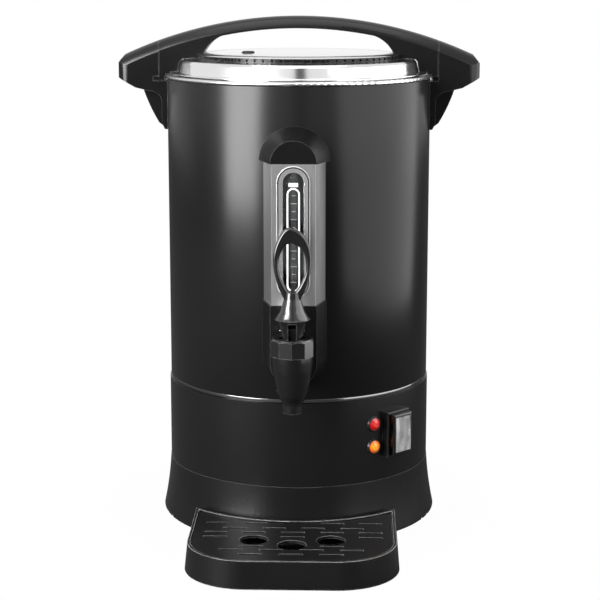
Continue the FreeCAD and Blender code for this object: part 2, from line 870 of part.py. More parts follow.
def tap_body():
    outer = [
        (0, outlet_z),
        (nozzle_r - 0.4, outlet_z),
        (nozzle_r, outlet_z + nozzle_length),
        (11.4, outlet_z + nozzle_length + 6.5),
        (13.6, outlet_z + nozzle_length + 15.5),
        (15.6, outlet_z + nozzle_length + 26.5),
        (tap_body_r, tap_body_top_z - 3),
        (tap_body_r, tap_body_top_z),
        (0, tap_body_top_z),
    ]
    body = turned_at_tap(outer)
    inner_end = tap_reach - shank_end
    body = body.fuse(Part.makeCylinder(shank_r, inner_end, V(0, -tap_reach, shank_z), BACK))
    body = body.cut(post(nozzle_bore_r, outlet_z - 1, chamber_floor_z + 1, 0, -tap_reach))
    chamber = turned_at_tap(
        [
            (0, chamber_floor_z),
            (chamber_low_r, chamber_floor_z),
            (chamber_r, chamber_full_z),
            (chamber_r, tap_body_top_z + 1),
            (0, tap_body_top_z + 1),
        ]
    )
    body = body.cut(chamber)
    body = body.cut(Part.makeCylinder(shank_bore_r, inner_end + 1, V(0, -tap_reach, shank_z), BACK))
    return body.cut(post(tube_bore_r - 0.4, shank_z, shank_z + shank_r + 2, 0, tube_y))


def tap_collar():
    flats = Part.Face(Part.makePolygon(ring_points(collar_r, collar_flat_count, tap_body_top_z)))
    nut = flats.extrude(V(0, 0, collar_top_z - tap_body_top_z))
    bound = turned_at_tap(
        [
            (0, tap_body_top_z),
            (collar_r, tap_body_top_z),
            (collar_r, collar_top_z - 2),
            (collar_r - 1.6, collar_top_z),
            (0, collar_top_z),
        ]
    )
    nut = nut.common(bound)
    nut = nut.cut(post(collar_bore_r, collar_wall_z, collar_top_z + 1, 0, -tap_reach))
    return nut.cut(post(stem_r + 0.05, tap_body_top_z - 1, collar_top_z, 0, -tap_reach))


def ring_points(r, count, z):
    turn = 2 * math.pi / count
    points = [
        V(r * math.cos((i + 0.5) * turn), r * math.sin((i + 0.5) * turn) - tap_reach, z) for i in range(count)
    ]
    points.append(points[0])
    return points


def tap_seat():
    z0 = chamber_floor_z + seat_lift
    cup = post(seat_r, z0, z0 + seat_thickness, 0, -tap_reach)
    return cup.cut(post(stem_r, z0 + 1, z0 + seat_thickness + 1, 0, -tap_reach))


def tap_stem():
    z0 = chamber_floor_z + seat_lift + 1
    rod_top = pin_z - stem_head_room
    rod = post(stem_r, z0, rod_top, 0, -tap_reach)
    disc = post(stem_disc_r, z0 + seat_thickness - 1, z0 + seat_thickness + 1, 0, -tap_reach)
    half = stem_head_thickness / 2
    depth = stem_head_depth / 2
    head = block(-half, half, -tap_reach - depth, -tap_reach + depth, rod_top - 1, pin_z)
    dome = Part.makeCylinder(depth, stem_head_thickness, V(-half, -tap_reach, pin_z), ACROSS)
    stem = rod.fuse(disc).fuse(head).fuse(dome)
    return stem.cut(pin_line(pin_r, 20))


def pin_line(r, half_length):
    return Part.makeCylinder(r, 2 * half_length, V(-half_length, -tap_reach, pin_z), ACROSS)


def tap_pin():
    return pin_line(pin_r, lever_block_top_r - 1.6)


# Closing spring between the collar's floor and the stem's disc, as the sleeve its coils fill.
def tap_spring():
    z0 = chamber_floor_z + seat_lift + seat_thickness + 2 + spring_end_gap
    z1 = tap_body_top_z - spring_end_gap
    sleeve = post(spring_r + spring_wire_r, z0, z1, 0, -tap_reach)
    return sleeve.cut(post(spring_r - spring_wire_r, z0 - 1, z1 + 1, 0, -tap_reach))


def tap_lever():
    flare = turned_at_tap(
        [
            (0, lever_flare_z),
            (lever_flare_r - 0.8, lever_flare_z),
            (lever_flare_r, lever_flare_z + 1.4),
            (lever_flare_r - 1.0, lever_flare_z + 2.4),
            (9.6, lever_flare_z + 8),
            (lever_neck_r, lever_neck_z),
            (lever_neck_r - 0.8, lever_neck_z + 6),
            (0, lever_neck_z + 8),
        ]
    )
    block_form = Part.makeCone(
        lever_block_bottom_r, lever_block_top_r, lever_flare_z - lever_block_z, V(0, -tap_reach, lever_block_z)
    )
    thin = lever_block_bottom_r - 2
    block_form = block_form.common(block(-20, 20, -tap_reach - thin, -tap_reach + thin, 180, 210))
    lever = flare.fuse(block_form).fuse(lever_loop())
    half = lever_slot_width / 2
    slot = block(-half, half, -tap_reach - 20, -tap_reach + 20, lever_block_z - 1, pin_z)
    head_room = stem_head_depth / 2 + 5
    slot = slot.fuse(Part.makeCylinder(head_room, 2 * half, V(-half, -tap_reach, pin_z), ACROSS))
    keep = block(-20, 20, -tap_reach - 20, -tap_reach + 20, lever_block_z - 2, lever_flare_z + 4)
    lever = lever.cut(slot.common(keep))
    return lever.cut(pin_line(pin_r + pin_gap, 20))


# A closed smooth outline in X and Z from its right-hand half, top point first and lowest point last.
def smooth_slab(half, y0, y1):
    points = half + [V(-p.x, 0, p.z) for p in reversed(half[1:-1])]
    curve = Part.BSplineCurve()
    curve.interpolate(Points=points, PeriodicFlag=True)
    face = Part.Face(Part.Wire(curve.toShape()))
    solid = face.extrude(V(0, y1 - y0, 0))
    solid.translate(V(0, y0, 0))
    return solid


# The finger loop: an egg-shaped ring, thick at the top and rounded all round.
def lever_loop():
    w = lever_loop_width / 2
    h = lever_hole_width / 2
    d = lever_half_thickness
    tall = lever_top_z - lever_loop_z
    low = lever_loop_z - lever_neck_z
    hole_z = lever_loop_z - 2
    outer = [
        V(0, 0, lever_top_z),
        V(0.70 * w, 0, lever_loop_z + 0.70 * tall),
        V(w, 0, lever_loop_z),
        V(0.80 * w, 0, lever_loop_z - 0.55 * low),
        V(lever_neck_r - 0.8, 0, lever_neck_z),
        V(0, 0, lever_neck_z - 6),
    ]
    hole = [
        V(0, 0, lever_hole_top_z),
        V(0.72 * h, 0, hole_z + 0.68 * (lever_hole_top_z - hole_z)),
        V(h, 0, hole_z),
        V(0.62 * h, 0, hole_z - 0.68 * (hole_z - lever_hole_bottom_z)),
        V(0, 0, lever_hole_bottom_z),
    ]
    loop = smooth_slab(outer, -tap_reach - d, -tap_reach + d)
    loop = loop.cut(smooth_slab(hole, -tap_reach - 2 * d, -tap_reach + 2 * d))
    rims = [e for e in loop.Edges if abs(abs(e.CenterOfMass.y + tap_reach) - d) < 0.01]
    return loop.makeFillet(0.45 * d, rims)


def tap_gasket():
    y0 = -(vessel_r - vessel_wall) + 0.3
    ring = Part.makeCylinder(gasket_r, gasket_thickness, V(0, y0, shank_z), BACK)
    ring = ring.cut(Part.makeCylinder(shank_r, 20, V(0, y0 - 5, shank_z), BACK))
    return ring.common(post(vessel_r - vessel_wall, shank_z - 30, shank_z + 30))


def tap_nut():
    y0 = -(vessel_r - vessel_wall) + 0.3 + gasket_thickness
    points = []
    for i in range(7):
        a = math.pi / 3 * i
        points.append(V(shank_nut_r * math.cos(a), y0, shank_z + shank_nut_r * math.sin(a)))
    nut = Part.Face(Part.makePolygon(points)).extrude(V(0, shank_nut_length, 0))
    return nut.cut(Part.makeCylinder(shank_r, 40, V(0, y0 - 5, shank_z), BACK))


def lamp_parts(height):
    bezel = Part.makeCone(lamp_bezel_r, lamp_bezel_r - 0.9, lamp_stand, V(0, 0, 0), V(0, -1, 0))
    bezel = bezel.fuse(Part.makeCylinder(lamp_barrel_r, lamp_barrel_length, V(0, 0, 0), BACK))
    bezel = bezel.cut(Part.makeCylinder(lamp_lens_r - 1.2, 6, V(0, 3, 0), V(0, -1, 0)))
    bezel = bezel.cut(Part.makeCylinder(lamp_lens_r, 6, V(0, -0.6, 0), V(0, -1, 0)))
    lens = Part.makeCylinder(lamp_lens_r, lamp_stand - 0.6, V(0, -0.6, 0), V(0, -1, 0))
    lens = lens.fuse(Part.makeCone(lamp_lens_r, 2.0, 2.6, V(0, -lamp_stand, 0), V(0, -1, 0)))
    facets = []
    for i in range(6):
        wedge = block(-10, 10, -12, -2.4, lamp_lens_r - 0.6, 10)
        wedge.rotate(V(0, 0, 0), BACK, 60 * i)
        facets.append(wedge)
    lens = lens.cut(Part.makeCompound(facets))
    return [stood_on_housing(piece, lamp_angle, housing_r + 0.05, height) for piece in (bezel, lens)]


def on_switch(solid):
    return stood_on_housing(solid, switch_angle, housing_r, switch_z)


def switch_bezel():
    w = switch_width / 2
    h = switch_height / 2
    frame = block(-w, w, -switch_stand, 2, -h, h)
    front = [e for e in frame.Edges if e.CenterOfMass.y < -switch_stand + 0.01]
    frame = frame.makeFillet(1.2, front)
    bw = switch_body_width / 2
    bh = switch_body_height / 2
    frame = frame.fuse(block(-bw, bw, 0, switch_body_depth, -bh, bh))
    rw = w - switch_rim
    rh = h - switch_rim - switch_end_margin
    frame = frame.cut(block(-rw, rw, -switch_stand - 1, 8.5, -rh, rh)).fuse(rocker_pin(rocker_pin_r))
    frame = on_switch(frame)
    rim_trim = post(housing_r, switch_z - 40, switch_z + 40)
    keep_body = on_switch(block(-bw, bw, -2, switch_body_depth + 1, -bh, bh))
    return frame.cut(rim_trim.cut(keep_body))


# The rocker turns on a level line. At rest its lower end stands out.
def switch_rocker():
    w = switch_width / 2 - switch_rim - rocker_gap
    h = switch_height / 2 - switch_rim - switch_end_margin - rocker_end_gap
    pivot_y = rocker_pivot_y
    start = V(0, -switch_stand + 0.6, h)
    steps = [
        (V(0, -switch_stand + 2.4, 0), V(0, -switch_stand + 0.6, -h)),
        V(0, pivot_y + 1, -h + 2.5),
        V(0, pivot_y + 4, -3.0),
        V(0, pivot_y + 4, 3.0),
        V(0, pivot_y + 1, h - 2.5),
    ]
    face = Part.Face(outline(start, steps))
    rocker = face.extrude(V(2 * w, 0, 0))
    rocker.translate(V(-w, 0, 0))
    rocker.rotate(V(0, pivot_y, 0), ACROSS, -rocker_tilt)
    return on_switch(rocker.cut(rocker_pin(rocker_pin_r + rocker_pin_gap)))


# The level line the rocker turns on, from one side of the switch's well to the other.
def rocker_pin(r):
    half = switch_width / 2 - switch_rim + 1
    return Part.makeCylinder(r, 2 * half, V(-half, rocker_pivot_y, 0), ACROSS)


def switch_cover():
    w = cover_width / 2
    h = cover_height / 2 + 3.0
    rim_y = -switch_stand
    hood = block(-w, w, rim_y - cover_stand, rim_y, -h, h)
    front = [e for e in hood.Edges if e.CenterOfMass.y < rim_y - cover_stand + 0.01]
    hood = hood.makeFillet(2.0, front)
    t = cover_wall
    return on_switch(hood.cut(block(-w + t, w - t, rim_y - cover_stand + t, rim_y + 1, -h + t, h - t)))


def power_inlet():
    w = inlet_width / 2
    h = inlet_height / 2
    y0 = housing_r
    frame = block(-w, w, y0 - 2, y0 + inlet_stand, inlet_z - h, inlet_z + h)
    outer = [e for e in frame.Edges if e.CenterOfMass.y > y0 + inlet_stand - 0.01]
    frame = frame.makeFillet(1.2, outer)
    bw = w - 2.5
    bh = h - 2.5
    frame = frame.cut(post(housing_r, inlet_z - 40, inlet_z + 40))
    body = block(-bw, bw, y0 - inlet_depth, y0 + 0.5, inlet_z - bh, inlet_z + bh)
    frame = frame.fuse(body)
    rw = inlet_recess_width / 2
    rh = inlet_recess_height / 2
    floor_y = y0 + inlet_stand - inlet_recess_depth
    corner = 5.0
    start = V(-rw, 0, inlet_z - rh)
    steps = [
        V(rw, 0, inlet_z - rh),
        V(rw, 0, inlet_z + rh - corner),
        V(rw - corner, 0, inlet_z + rh),
        V(-rw + corner, 0, inlet_z + rh),
        V(-rw, 0, inlet_z + rh - corner),
    ]
    return frame.cut(slab(start, steps, floor_y, y0 + inlet_stand + 1)).cut(inlet_pins())


def inlet_pins():
    floor_y = housing_r + inlet_stand - inlet_recess_depth
    pins = []
    for x, z in ((-7.0, -1.8), (0.0, 2.2), (7.0, -1.8)):
        half = inlet_pin / 2
        pin = block(x - half, x + half, floor_y - 8, floor_y + 11.5, inlet_z + z - 2, inlet_z + z + 2)
        pins.append(pin)
    return Part.makeCompound(pins)


def heating_element():
    z = vessel_floor_z - element_tube_r
    ring = Part.makeTorus(element_r, element_tube_r, V(0, 0, z), UP)
    gap = block(-8, 8, 0, element_r + 20, z - 10, z + 10)
    ring = ring.cut(gap)
    for side in (1, -1):
        x = side * (8 + element_tube_r)
        y = math.sqrt(element_r**2 - x**2)
        ring = ring.fuse(post(element_tube_r, z - 14, z, x, y))
    return ring


def thermostat():
    z1 = vessel_floor_z
    return post(thermostat_r, z1 - thermostat_height, z1, 0, 0).fuse(
        block(-12, 12, -3, 3, z1 - 2, z1)
    )


def thermal_cutout():
    z1 = vessel_floor_z
    return post(6, z1 - 9, z1, -30, 0).fuse(block(-39, -21, -2.5, 2.5, z1 - 1.5, z1))


def terminal_block():
    z0 = plate_z + plate_thickness
    w = terminal_width / 2
    body = block(-w, w, 30, 30 + terminal_depth, z0, z0 + terminal_height)
    for i in range(3):
        x = (i - 1) * terminal_width / 3
        body = body.cut(post(2.4, z0 + 5, z0 + terminal_height + 1, x, 30 + terminal_depth / 2))
    return body


def pump_tube():
    z0 = vessel_floor_z + vessel_wall
    top = lid_shoulder_z - lid_sheet - pump_tube_top
    foot_form = turned(
        [
            (pump_tube_bore_r, z0 + pump_foot_height - 1.5),
            (pump_foot_r - 4, z0 + 1.2),
            (pump_foot_r - 4, z0),
            (pump_foot_r, z0),
            (pump_foot_r, z0 + 2),
            (pump_tube_r + 3, z0 + pump_foot_height),
            (pump_tube_r, z0 + pump_foot_height + 4),
            (pump_tube_r, basket_floor_z() - 0.5),
            (pump_tube_r + 2.5, basket_floor_z() - 0.5),
            (pump_tube_r + 2.5, basket_floor_z()),
            (pump_tube_r, basket_floor_z()),
            (pump_tube_r, top),
            (pump_tube_bore_r, top),
        ]
    )
    return foot_form


def basket_floor_z():
    return jacket_top_z - basket_drop - basket_height


def coffee_basket():
    z0 = basket_floor_z()
    z1 = z0 + basket_height
    hub_in = pump_tube_r + 0.6
    cup = pipe(basket_r, basket_r - basket_wall, z0, z1)
    cup = cup.fuse(pipe(basket_r, hub_in, z0, z0 + basket_wall))
    cup = cup.fuse(pipe(hub_in + basket_wall, hub_in, z0, z1 - 2))
    holes = []
    for ring in range(3):
        r = 22 + ring * 20
        count = 8 + 4 * ring
        for i in range(count):
            a = 2 * math.pi * i / count
            holes.append(post(basket_hole_r, z0 - 1, z0 + 2, r * math.cos(a), r * math.sin(a)))
    return cup.cut(Part.makeCompound(holes))


def basket_spreader():
    z0 = basket_floor_z() + basket_height
    hub_in = pump_tube_r + 0.6
    plate = pipe(basket_r + spreader_rim, hub_in, z0, z0 + basket_wall)
    plate = plate.fuse(pipe(basket_r + spreader_rim, basket_r + spreader_rim - 1, z0, z0 + 4))
    holes = []
    for ring in range(3):
        r = 26 + ring * 18
        count = 8 + 4 * ring
        for i in range(count):
            a = 2 * math.pi * (i + 0.5) / count
            holes.append(post(spreader_hole_r, z0 - 1, z0 + 2, r * math.cos(a), r * math.sin(a)))
    return plate.cut(Part.makeCompound(holes))


# The tray's outline from above, drawn at a height and moved in by an inset.
def tray_wire(inset, z):
    w = tray_half_width - inset
    front = -(tray_front - inset)
    r = tray_corner_r - inset
    k = r * (1 - math.sqrt(0.5))
    back_r = skirt_bottom_r + tray_skirt_gap + inset
    back_y = -math.sqrt(back_r**2 - w**2)
    start = V(-w, back_y, z)
    steps = [
        V(-w, front + r, z),
        (V(-w + k, front + k, z), V(-w + r, front, z)),
        V(w - r, front, z),
        (V(w - k, front + k, z), V(w, front + r, z)),
        V(w, back_y, z),
        (V(0, -back_r, z), start),
    ]
    return outline(start, steps)


def drip_tray():
    z0 = stand_gap
    z1 = stand_gap + tray_height
    body = Part.makeLoft([tray_wire(0, z0), tray_wire(tray_draft, z1)], True, True)
    floor_z = z0 + tray_floor
    cavity = Part.makeLoft(
        [tray_wire(tray_wall + tray_draft, floor_z), tray_wire(tray_wall + tray_draft, z1 + 1)], True, True
    )
    body = body.cut(cavity)
    ledge_z = grille_z()
    ledge = Part.Face(tray_wire(tray_wall + tray_draft - 0.5, ledge_z - 1.6)).extrude(V(0, 0, 1.6))
    ledge = ledge.cut(Part.Face(tray_wire(tray_wall + tray_draft + 2.4, ledge_z - 3)).extrude(V(0, 0, 6)))
    body = body.fuse(ledge)
    for side in (1, -1):
        rail = tray_rail(side * tray_half_width / 2, 0, stand_gap + tray_rail_rise)
        body = body.fuse(rail.common(rear_wall_reach()))
    return body


# The round the rails stay within, so that they start in the tray's rear wall.
def rear_wall_reach():
    return post(skirt_bottom_r + tray_skirt_gap + tray_wall, stand_gap, stand_gap + tray_height)


def grille_z():
    return stand_gap + tray_height - grille_drop - grille_thickness


# Slot places: distance from the barrel's axis, then the middles of the slots along the row.
def grille_slots():
    outer = 63.0
    near = 32.0
    rows = [
        (126.0, (-outer, -near, 0, near, outer)),
        (138.5, (-1.5 * near, -0.5 * near, 0.5 * near, 1.5 * near)),
        (149.0, (-outer, -near, 0, near, outer)),
        (160.5, (-outer, 0, outer)),
        (182.5, (-near, near)),
        (191.0, (-1.5 * near, -0.5 * near, 0.5 * near, 1.5 * near)),
        (201.5, (-near, 0, near)),
    ]
    places = []
    for reach, middles in rows:
        for x in middles:
            places.append((x, -reach))
    return places


def drip_grille():
    z0 = grille_z()
    inset = tray_wall + tray_draft + grille_gap
    plate = Part.Face(tray_wire(inset, z0)).extrude(V(0, 0, grille_thickness))
    half = slot_length / 2
    cutters = []
    for x, y in grille_slots():
        cutters.append(block(x - half, x + half, y - slot_width / 2, y + slot_width / 2, z0 - 1, z0 + 4))
    holes = ((-cup_hole_spread, cup_hole_y), (0, cup_hole_middle_y), (cup_hole_spread, cup_hole_y))
    for x, reach in holes:
        cutters.append(post(cup_hole_r, z0 - 1, z0 + 4, x, -reach))
    return plate.cut(Part.makeCompound(cutters))


def all_parts():
    parts = {
        "base_skirt": base_skirt(),
        "bottom_plate": bottom_plate(),
        "base_housing": base_housing(),
        "seam_ring": seam_ring(),
        "outer_jacket": outer_jacket(),
        "inner_vessel": inner_vessel(),
        "side_handle_right": right_handle(),
        "side_handle_left": right_handle().rotate(V(0, 0, 0), UP, 180),
        "handle_screws": handle_screws(),
        "lid_pan": lid_pan(),
        "lid_vent_ring": lid_vent_ring(),
        "lid_top": lid_top(),
        "lid_handle": lid_handle(),
        "lid_seal": lid_seal(),
        "lid_screws": lid_screws(),
        "gauge_cover": gauge_cover(),
        "gauge_frame": gauge_frame(),
        "gauge_lens": gauge_lens(),
        "gauge_backplate": gauge_backplate(),
        "gauge_tube": gauge_tube(),
        "gauge_tee": gauge_tee(),
        "gauge_seal_lower": gauge_seal(False),
        "gauge_seal_upper": gauge_seal(True),
        "gauge_cap": gauge_cap(),
        "tap_fairing": tap_fairing(),
        "tap_body": tap_body(),
        "tap_collar": tap_collar(),
        "tap_seat": tap_seat(),
        "tap_stem": tap_stem(),
        "tap_pin": tap_pin(),
        "tap_spring": tap_spring(),
        "tap_lever": tap_lever(),
        "tap_gasket": tap_gasket(),
        "tap_nut": tap_nut(),
        "switch_bezel": switch_bezel(),
        "switch_rocker": switch_rocker(),
        "switch_cover": switch_cover(),
        "power_inlet": power_inlet(),
        "inlet_pins": inlet_pins(),
        "heating_element": heating_element(),
        "thermostat": thermostat(),
        "thermal_cutout": thermal_cutout(),
        "terminal_block": terminal_block(),
        "pump_tube": pump_tube(),
        "coffee_basket": coffee_basket(),
        "basket_spreader": basket_spreader(),
        "drip_tray": drip_tray(),
        "drip_grille": drip_grille(),
    }
    for i in range(foot_count):
        parts["foot_%d" % (i + 1)] = foot(i)
    for name, height in (("heating", heating_lamp_z), ("ready", ready_lamp_z)):
        bezel, lens = lamp_parts(height)
        parts["lamp_bezel_" + name] = bezel
        parts["lamp_lens_" + name] = lens
    return parts


os.makedirs("parts", exist_ok=True)
for name, shape in all_parts().items():
    whole = shape.copy()
    whole.translate(V(0, footprint_shift, 0))
    solids = whole.Solids
    print(name, "solids", len(solids), "valid", whole.isValid(), "volume", round(whole.Volume))
    whole.exportStep("parts/" + name + ".step")
print("barrel axis stands at y =", round(footprint_shift, 3))
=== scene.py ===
import json
import math

import bpy
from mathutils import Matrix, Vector

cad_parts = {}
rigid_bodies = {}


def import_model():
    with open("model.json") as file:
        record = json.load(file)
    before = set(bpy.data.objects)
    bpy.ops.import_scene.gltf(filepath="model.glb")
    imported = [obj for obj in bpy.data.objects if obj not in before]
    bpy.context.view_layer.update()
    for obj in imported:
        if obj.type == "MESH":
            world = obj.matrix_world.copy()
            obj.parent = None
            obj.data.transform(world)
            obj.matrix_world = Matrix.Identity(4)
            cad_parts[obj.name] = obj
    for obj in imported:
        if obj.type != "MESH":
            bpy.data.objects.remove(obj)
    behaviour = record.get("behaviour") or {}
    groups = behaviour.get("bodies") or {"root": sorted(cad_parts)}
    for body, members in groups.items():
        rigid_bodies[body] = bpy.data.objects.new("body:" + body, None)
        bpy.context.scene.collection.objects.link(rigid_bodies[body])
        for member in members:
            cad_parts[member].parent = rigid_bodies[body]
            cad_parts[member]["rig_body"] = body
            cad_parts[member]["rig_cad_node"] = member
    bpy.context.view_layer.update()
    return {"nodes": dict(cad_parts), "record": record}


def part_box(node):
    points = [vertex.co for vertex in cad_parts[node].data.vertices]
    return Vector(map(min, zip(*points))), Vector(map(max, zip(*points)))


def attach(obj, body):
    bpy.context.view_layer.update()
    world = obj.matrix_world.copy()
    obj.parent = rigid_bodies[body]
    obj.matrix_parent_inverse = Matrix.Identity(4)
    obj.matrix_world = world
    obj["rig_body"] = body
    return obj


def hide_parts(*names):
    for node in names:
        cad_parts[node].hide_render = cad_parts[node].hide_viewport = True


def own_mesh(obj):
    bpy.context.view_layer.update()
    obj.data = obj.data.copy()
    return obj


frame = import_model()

mm = 0.001
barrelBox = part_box("outer_jacket")
axisY = (barrelBox[0].y + barrelBox[1].y) / 2
axisFoot = Vector((0.0, axisY, 0.0))
slotOf = {part["node"]: part["material_slot"] for part in frame["record"]["subparts"]}
bodyOf = {node: body for body, nodes in frame["record"]["behaviour"]["bodies"].items() for node in nodes}


# shader sums, written as plain expressions
class Signal:
    def __init__(self, paint, socket):
        self.paint = paint
        self.socket = socket

    def pair(self, operation, a, b):
        return self.paint.node("ShaderNodeMath", {"operation": operation}, {0: a, 1: b})

    def __add__(self, other):
        return self.pair("ADD", self, other)

    def __radd__(self, other):
        return self.pair("ADD", other, self)

    def __sub__(self, other):
        return self.pair("SUBTRACT", self, other)

    def __rsub__(self, other):
        return self.pair("SUBTRACT", other, self)

    def __mul__(self, other):
        return self.pair("MULTIPLY", self, other)

    def __rmul__(self, other):
        return self.pair("MULTIPLY", other, self)

    def __truediv__(self, other):
        return self.pair("DIVIDE", self, other)

    def size(self):
        return self.paint.node("ShaderNodeMath", {"operation": "ABSOLUTE"}, {0: self})

    def clamped(self):
        return self.paint.node("ShaderNodeClamp", {}, {"Value": self})


# a material's nodes, or those of a tree that is handed in
class Paint:
    def __init__(self, name, tree=None):
        if tree:
            self.tree = tree
            return
        self.material = bpy.data.materials.new(name)
        self.material.use_nodes = True
        self.tree = self.material.node_tree
        self.shader = self.tree.nodes["Principled BSDF"]
        self.places = self.node("ShaderNodeTexCoord", {}, {}, "Object")

    def node(self, kind, settings, values, output=0):
        made = self.tree.nodes.new(kind)
        for key, value in settings.items():
            if key == "stops":
                self.setStops(made.color_ramp, value)
            else:
                setattr(made, key, value)
        for key, value in values.items():
            self.feed(made.inputs[key], value)
        return Signal(self, made.outputs[output])

    def feed(self, socket, value):
        if isinstance(value, Signal):
            self.tree.links.new(value.socket, socket)
        else:
            socket.default_value = value

    def setStops(self, ramp, stops):
        while len(ramp.elements) < len(stops):
            ramp.elements.new(0.5)
        for element, (place, tone) in zip(ramp.elements, stops):
            element.position = place
            element.color = (*tone, 1.0) if isinstance(tone, tuple) else (tone, tone, tone, 1.0)

    def noise(self, scale, detail=3.0, stretch=(1.0, 1.0, 1.0)):
        spread = self.node("ShaderNodeMapping", {}, {"Vector": self.places, "Scale": stretch})
        return self.node("ShaderNodeTexNoise", {}, {"Vector": spread, "Scale": scale, "Detail": detail})

    def ramp(self, signal, stops):
        return self.node("ShaderNodeValToRGB", {"stops": stops}, {"Fac": signal})

    def mix(self, mask, a, b):
        return self.node("ShaderNodeMix", {"data_type": "RGBA"}, {0: mask, 6: a, 7: b}, 2)

    def dot(self, a, b):
        return self.node("ShaderNodeVectorMath", {"operation": "DOT_PRODUCT"}, {0: a, 1: b}, "Value")

    # 0 on open surfaces, towards 1 along edges
    def edges(self, radius):
        soft = self.node("ShaderNodeBevel", {"samples": 4}, {"Radius": radius})
        hard = self.node("ShaderNodeNewGeometry", {}, {}, "Normal")
        return (1.0 - self.dot(soft, hard)).clamped()

    # distance from an upright line
    def reach(self, centre):
        moved = self.node("ShaderNodeVectorMath", {"operation": "SUBTRACT"}, {0: self.places, 1: centre})
        flat = self.node("ShaderNodeVectorMath", {"operation": "MULTIPLY"}, {0: moved, 1: (1.0, 1.0, 0.0)})
        return self.node("ShaderNodeVectorMath", {"operation": "LENGTH"}, {0: flat}, "Value")

    def bump(self, height, distance, strength=1.0):
        values = {"Height": height, "Distance": distance, "Strength": strength}
        return self.set("Normal", self.node("ShaderNodeBump", {}, values))

    def set(self, name, value):
        self.feed(self.shader.inputs[name], value)
        return self

    # the share of a second shader laid over the main one
    def blendShader(self, share, other):
        main = Signal(self, self.shader.outputs[0])
        mixed = self.node("ShaderNodeMixShader", {}, {0: share, 1: main, 2: other})
        self.feed(self.tree.nodes["Material Output"].inputs["Surface"], mixed)
        return self


def grey(tone):
    return (tone, tone, tone, 1.0)


def satinEnamel(name="satinEnamel"):
    look = {"tone": 0.003, "dust": 0.006, "rough": 0.25, "spread": 0.08, "peel": 900.0,
            "peelDepth": 0.000006, "cloud": 9.0, "smear": 26.0, "shine": 0.20}
    paint = Paint(name)
    cloud = paint.noise(look["cloud"], 4.0)
    fine = paint.noise(look["peel"], 2.0)
    smear = paint.noise(look["smear"], 5.0, (1.0, 1.0, 0.25))
    paint.set("Base Color", paint.mix(cloud, grey(look["tone"]), grey(look["dust"])))
    paint.set("Roughness", smear * look["spread"] + look["rough"] - 0.5 * look["spread"])
    paint.set("Specular IOR Level", look["shine"])
    return paint.bump(fine, look["peelDepth"], 0.5)


def mouldedPlastic(name="mouldedPlastic", tone=0.003, rough=0.27, edgeWearAndHighlight=0.20, edgeWide=0.0007,
                   shine=0.24):
    look = {"grain": 2600.0, "grainDepth": 0.00002, "spread": 0.12, "patch": 14.0, "rub": 120.0,
            "edgeGain": 2.2, "dark": 0.8, "pale": 1.5, "edgeSmooth": 0.12}
    paint = Paint(name)
    grain = paint.noise(look["grain"], 2.0)
    patch = paint.noise(look["patch"], 4.0)
    # the edges take a lighter grey: partly wear, and partly a painted highlight standing in for bright rims
    edge = (paint.edges(edgeWide) * look["edgeGain"] * paint.noise(look["rub"], 4.0)).clamped()
    body = paint.mix(patch, grey(tone * look["dark"]), grey(tone * look["pale"]))
    paint.set("Base Color", paint.mix(edge, body, grey(edgeWearAndHighlight)))
    paint.set("Specular IOR Level", shine)
    scatter = patch * look["spread"] + rough - 0.5 * look["spread"]
    paint.set("Roughness", scatter - edge * look["edgeSmooth"])
    return paint.bump(grain, look["grainDepth"], 0.5)


# fine rings left by polishing on a lathe
def polishedSteel(name="polishedSteel", tone=0.80):
    look = {"dark": 0.88, "rough": 0.13, "rings": 2200.0, "depth": 0.000004, "smear": 18.0,
            "ringRough": 0.05, "smearRough": 0.07, "less": 0.05}
    paint = Paint(name)
    rings = paint.node("ShaderNodeTexNoise", {"noise_dimensions": "1D"},
                       {"W": paint.reach(axisFoot), "Scale": look["rings"], "Detail": 2.0})
    smear = paint.noise(look["smear"], 4.0)
    paint.set("Base Color", paint.mix(smear, grey(look["dark"] * tone), grey(tone)))
    paint.set("Metallic", 1.0)
    scatter = look["rough"] + rings * look["ringRough"] + smear * look["smearRough"]
    paint.set("Roughness", scatter - look["less"])
    return paint.bump(rings, look["depth"], 0.5)


def brushedSteel(name="brushedSteel", tone=0.62, rough=0.26, stretch=(1.0, 1.0, 60.0), metal=1.0):
    look = {"brush": 60.0, "smear": 11.0, "groove": 0.86, "brushRough": 0.10, "smearRough": 0.06,
            "less": 0.08, "depth": 0.000006, "bump": 0.5}
    paint = Paint(name)
    brush = paint.noise(look["brush"], 3.0, stretch)
    smear = paint.noise(look["smear"], 3.0)
    paint.set("Base Color", paint.mix(brush, grey(tone * look["groove"]), grey(tone)))
    paint.set("Metallic", metal)
    scatter = rough + brush * look["brushRough"] + smear * look["smearRough"]
    paint.set("Roughness", scatter - look["less"])
    return paint.bump(brush, look["depth"], look["bump"])


def clearPlastic(name="clearPlastic"):
    look = {"haze": 40.0, "scuff": 300.0, "hazy": (0.93, 0.95, 0.96, 1.0),
            "clear": (0.99, 0.99, 0.99, 1.0), "rough": 0.04, "spread": 0.06, "bend": 1.42}
    paint = Paint(name)
    haze = paint.noise(look["haze"], 4.0)
    scuff = paint.noise(look["scuff"], 2.0, (1.0, 1.0, 0.2))
    paint.set("Base Color", paint.mix(haze, look["hazy"], look["clear"]))
    paint.set("Roughness", look["rough"] + scuff * look["spread"])
    paint.set("Transmission Weight", 1.0)
    paint.set("IOR", look["bend"])
    return paint
